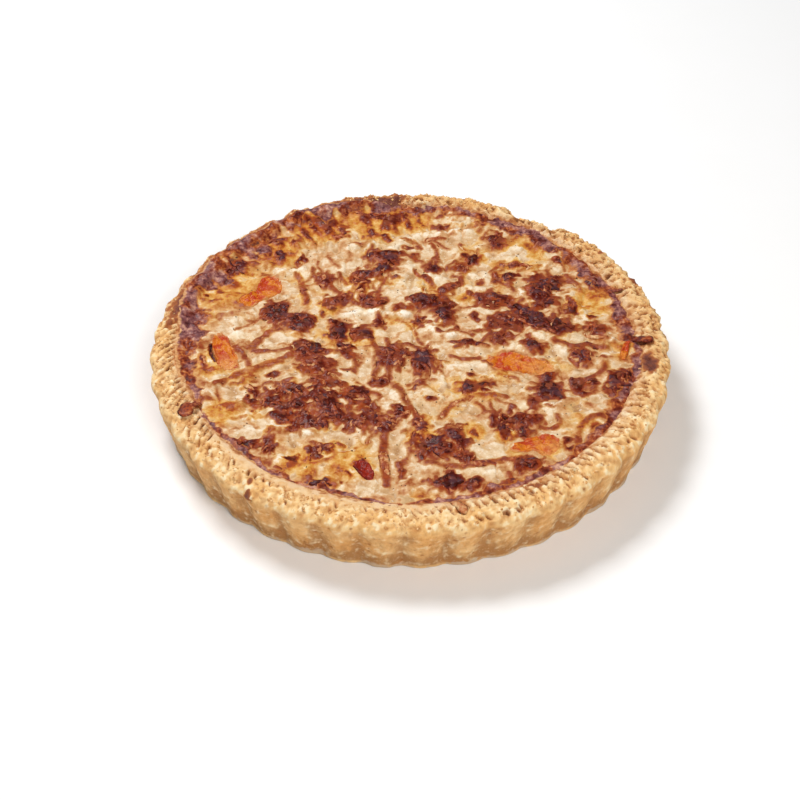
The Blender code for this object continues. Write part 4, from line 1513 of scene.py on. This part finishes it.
def cream_color(s, lift, broad, middle, fine, grit):
    """Unbrowned custard, painted lighter on its ridges as highlight and darker in its hollows and
    furrows as shade.
    """
    cream = s.ramp(
        s.shift(lift, middle, 0.25, 0.75, -0.35, 0.35),
        (-1.20, 170, 124, 80), (-0.55, 198, 156, 110), (0.00, 221, 192, 156),
        (0.60, 236, 215, 185), (1.40, 250, 238, 220),
    )
    return s.tint(
        cream,
        (broad, 0.44, 0.66, 0.35, 230, 200, 150),
        (fine, 0.52, 0.70, 0.5, 190, 142, 94),
        (fine, 0.44, 0.32, 0.5, 250, 238, 218),
        (grit, 0.60, 0.72, 0.5, 186, 140, 88),
    )


def skin_color(s, color, skin, middle, fine):
    """The custard with its dark skin: ruddy, or purple with painted sheen, with an amber seam along
    it.
    """
    patchy = s.add(middle, s.times(fine, 0.6))
    # The purple ramp is partly painted sheen: its pink-grey tones and pale end stand in for the light
    # reflected by the shiny skin.
    purple = s.ramp(
        patchy,
        (0.56, 222, 174, 146), (0.70, 168, 114, 102), (0.84, 120, 70, 70), (1.00, 68, 32, 36),
    )
    ruddy = s.ramp(
        patchy,
        (0.56, 232, 176, 112), (0.70, 188, 106, 52), (0.84, 136, 58, 32), (1.00, 84, 26, 18),
    )
    crisp = s.mix(s.step(s.noise(9.0, 2.0), 0.44, 0.58), purple, ruddy)
    fringe = s.shift(skin, middle, 0.3, 0.7, -0.3, 0.3)
    fringe = s.shift(fringe, fine, 0.3, 0.7, -0.1, 0.1)
    fringe = s.times(fringe, s.step(skin, 0.0, 0.15))
    seam = s.ramp(fringe, (0.10, 210, 148, 74), (0.35, 178, 98, 44), (0.60, 142, 68, 40))
    color = s.mix(s.step(fringe, 0.05, 0.30, 0.0, 0.8), color, seam)
    return s.mix(s.step(fringe, 0.40, 0.80), color, crisp)


def custard_material():
    s = Shader("browned_custard", 0.4, 0.12)
    broad, middle, fine = s.noise(16.0), s.noise(4.5, 4.0), s.noise(1.6, 4.0, 0.6)
    grit = s.noise(0.55, 3.0)
    brown, dark, skin, amber, lift, rind = s.attributes(
        "brown", "dark", "skin", "amber", "lift", "rind"
    )
    brown = s.shift(brown, middle, 0.25, 0.75, -0.8, 0.8)
    brown = s.shift(brown, fine, 0.25, 0.75, -0.55, 0.55)
    browner = s.add(brown, s.times(dark, 1.4))
    baked = s.ramp(
        browner,
        (-4.0, 224, 190, 148), (-2.8, 208, 162, 114), (-1.8, 188, 132, 84), (-0.9, 166, 95, 50),
        (0.1, 134, 58, 31), (1.2, 112, 34, 14), (2.6, 82, 18, 8), (4.6, 56, 12, 4),
    )
    cream = cream_color(s, lift, broad, middle, fine, grit)
    color = s.mix(s.step(browner, -4.2, -2.6), cream, baked)
    golden = s.ramp(
        s.shift(brown, fine, 0.3, 0.7, -0.4, 0.4),
        (-3.4, 226, 184, 108), (-1.6, 208, 146, 60), (0.4, 184, 92, 26),
    )
    glow = s.times(s.step(browner, -4.4, -2.8), s.step(browner, 1.4, -0.4))
    color = s.mix(s.times(glow, s.times(amber, 0.85)), color, golden)
    rusty = s.times(s.step(middle, 0.46, 0.62, 0.0, 0.5), s.step(browner, -1.0, 0.6))
    color = s.mix(rusty, color, (168, 86, 54))
    thin = s.times(s.step(browner, -0.8, 0.8), s.step(browner, 2.4, 1.2))
    # Rust where the browned cheese is thin, with purple patches of painted sheen.
    color = rust_and_sheen(s, color, thin)
    # Painted sheen: purple-grey spots on the darkest custard stand in for the light's reflection.
    painted_sheen = s.times(s.step(s.noise(6.0, 1.0), 0.46, 0.58), s.step(dark, 0.55, 0.85))
    color = s.mix(s.times(painted_sheen, 0.65), color, (84, 50, 58))
    color = skin_color(s, color, skin, middle, fine)
    rind = s.shift(rind, middle, 0.3, 0.7, -0.25, 0.25)
    crusted = s.mix(s.step(fine, 0.40, 0.62), (224, 172, 114), (190, 126, 76))
    color = s.mix(s.step(rind, 0.25, 0.95, 0.0, 0.85), color, crusted)
    wet = s.step(s.add(brown, s.times(skin, 2.0)), -1.5, 1.5, 0.46, 0.34)
    grain = s.add(s.noise(3.0, 1.5, 0.5), s.times(grit, 0.06))
    return s.finish(color, wet, s.bump(grain, 0.9, 0.8))


def shred_material():
    s = Shader("browned_cheese", 0.35, 0.12)
    fine, middle = s.noise(1.4, 3.0), s.noise(4.5)
    tone, edge = s.attributes("tone", "edge")
    value = s.shift(tone, fine, 0.3, 0.7, -0.11, 0.13)
    value = s.shift(value, middle, 0.3, 0.7, -0.15, 0.22)
    # The sides are darker, partly as browner edges and partly as painted shade; the top is lighter as
    # painted highlight.
    value = s.shift(value, edge, 0.1, 0.9, -0.10, 0.27)
    color = s.ramp(
        value,
        (-0.10, 232, 196, 146), (0.12, 208, 157, 110), (0.28, 190, 119, 74), (0.44, 158, 80, 50),
        (0.60, 122, 48, 29), (0.80, 88, 26, 15), (1.05, 60, 14, 6),
    )
    # Rust on mid-brown shreds, with purple patches of painted sheen.
    color = rust_and_sheen(s, color, s.times(s.step(value, 0.28, 0.50), s.step(value, 0.74, 0.58)))
    # Painted sheen: purple-grey spots on the darkest shreds stand in for the light's reflection.
    painted_sheen = s.times(s.step(s.noise(6.0, 1.0), 0.48, 0.58), s.step(value, 0.55, 0.75))
    color = s.mix(s.times(painted_sheen, 0.6), color, (86, 52, 60))
    normal = s.bump(s.noise(1.6, 2.0, 0.5), 0.5, 0.7)
    return s.finish(color, s.step(fine, 0.3, 0.7, 0.36, 0.5), normal)


def salmon_material():
    known = bpy.data.materials.get("baked_salmon")
    if known:
        return known
    s = Shader("baked_salmon", 0.4, 0.2)
    fine, middle = s.noise(1.2, 4.0), s.noise(4.0, 4.0)
    fibre, seam, burnt, pale, sunk = s.attributes("fibre", "seam", "burnt", "pale", "sunk")
    color = s.mix(s.step(middle, 0.42, 0.57), (212, 120, 26), (184, 58, 18))
    color = s.mix(s.times(pale, 0.85), color, (220, 150, 80))
    color = s.tint(
        color,
        (fibre, 0.1, 0.8, 0.5, 226, 156, 84),
        (fibre, -0.1, -0.8, 0.4, 184, 80, 26),
        (fine, 0.50, 0.66, 0.55, 166, 50, 20),
    )
    color = s.mix(s.times(seam, 0.15), color, (160, 70, 28))
    smear = s.times(sunk, s.step(middle, 0.40, 0.56, 0.0, 0.85))
    color = s.mix(smear, color, (214, 158, 94))
    char = s.shift(burnt, fine, 0.3, 0.7, -0.18, 0.18)
    toasted = s.ramp(
        char,
        (0.30, 186, 66, 26), (0.65, 164, 42, 20), (1.00, 126, 28, 16), (1.40, 60, 14, 12),
    )
    color = s.mix(s.step(char, 0.25, 0.60), color, toasted)
    normal = s.bump(s.add(fine, s.times(middle, 0.8)), 0.6, 0.8)
    return s.finish(color, s.step(fine, 0.3, 0.7, 0.26, 0.42), normal)


def herb_material():
    s = Shader("dried_herbs", 0.7, 0.3)
    (shade,) = s.attributes("shade")
    color = s.ramp(shade, (0.0, 40, 30, 20), (0.5, 92, 60, 34), (1.0, 150, 84, 40))
    return s.finish(s.mix(s.noise(0.4), color, (64, 46, 28)), None, s.bump(s.noise(0.3), 0.1))


def crumb_material():
    s = Shader("pastry_crumbs", 0.85, 0.2)
    (shade,) = s.attributes("shade")
    color = s.ramp(shade, (0.0, 204, 144, 84), (0.5, 230, 178, 116), (1.0, 246, 212, 160))
    color = s.tint(color, (s.noise(0.8), 0.5, 0.7, 0.5, 190, 128, 72))
    return s.finish(color, None, s.bump(s.noise(0.5, 4.0), 0.3))


# ------------------------------------------------------------------- floor, lights and camera
def make_floor():
    mesh = bpy.data.meshes.new("studio_floor")
    side = 6.0
    corners = [(-side, -side, 0), (side, -side, 0), (side, side, 0), (-side, side, 0)]
    mesh.from_pydata(corners, [], [(0, 1, 2, 3)])
    s = Shader("studio_paper", 0.9, 0.1)
    mesh.materials.append(s.finish(s.mix(s.noise(40.0), (246, 245, 243), (248, 247, 246))))
    floor = add_object("studio_floor", mesh)


def make_light(name, place, width, height, power, color):
    """A softbox at this place, turned towards the middle of the quiche."""
    light = bpy.data.lights.new(name, "AREA")
    light.shape = "RECTANGLE"
    light.size = width
    light.size_y = height
    light.energy = power
    light.color = color
    softbox = add_object(name, light)
    softbox.location = place
    aim = Vector((0.0, 0.0, 0.02)) - Vector(place)
    softbox.rotation_euler = aim.to_track_quat("-Z", "Y").to_euler()


def make_studio():
    make_floor()
    make_light("back_softbox", (-0.5, 0.58, 1.1), 0.5, 0.4, 14.4, (0.95, 0.97, 1.0))
    make_light("front_softbox", (0.35, -0.95, 0.95), 0.6, 0.4, 10.6, (1.0, 0.98, 0.95))
    world = bpy.data.worlds.new("pale_studio")
    world.use_nodes = True
    sky = world.node_tree.nodes["Background"]
    sky.inputs["Color"].default_value = (1.0, 0.99, 0.98, 1.0)
    sky.inputs["Strength"].default_value = 0.2
    scene = bpy.context.scene
    scene.world = world
    scene.view_settings.view_transform = "Standard"


def make_camera():
    """Looks down on the quiche's front from 42 degrees above level."""
    elevation, distance = math.radians(42.1), 1.0
    target = Vector((-0.0051, -0.0059, 0.0))
    camera = bpy.data.cameras.new("camera")
    camera.sensor_width = 36.0
    camera.lens = 88.3
    camera.clip_end = 50.0
    viewer = add_object("camera", camera)
    away = Vector((0.0, -math.cos(elevation), math.sin(elevation)))
    viewer.location = target + away * distance
    viewer.rotation_euler = (math.pi / 2 - elevation, 0.0, 0.0)
    bpy.context.scene.camera = viewer


def main():
    make_camera()
    make_studio()
    crust_points, crust_layers = crust_shape()
    make_crust(crust_points, crust_layers)
    shreds = all_shreds()
    make_custard(shreds)
    make_shreds(shreds)
    for row in SALMON:
        make_salmon(*row)
    make_herbs()
    make_crumbs(crust_points)


main()
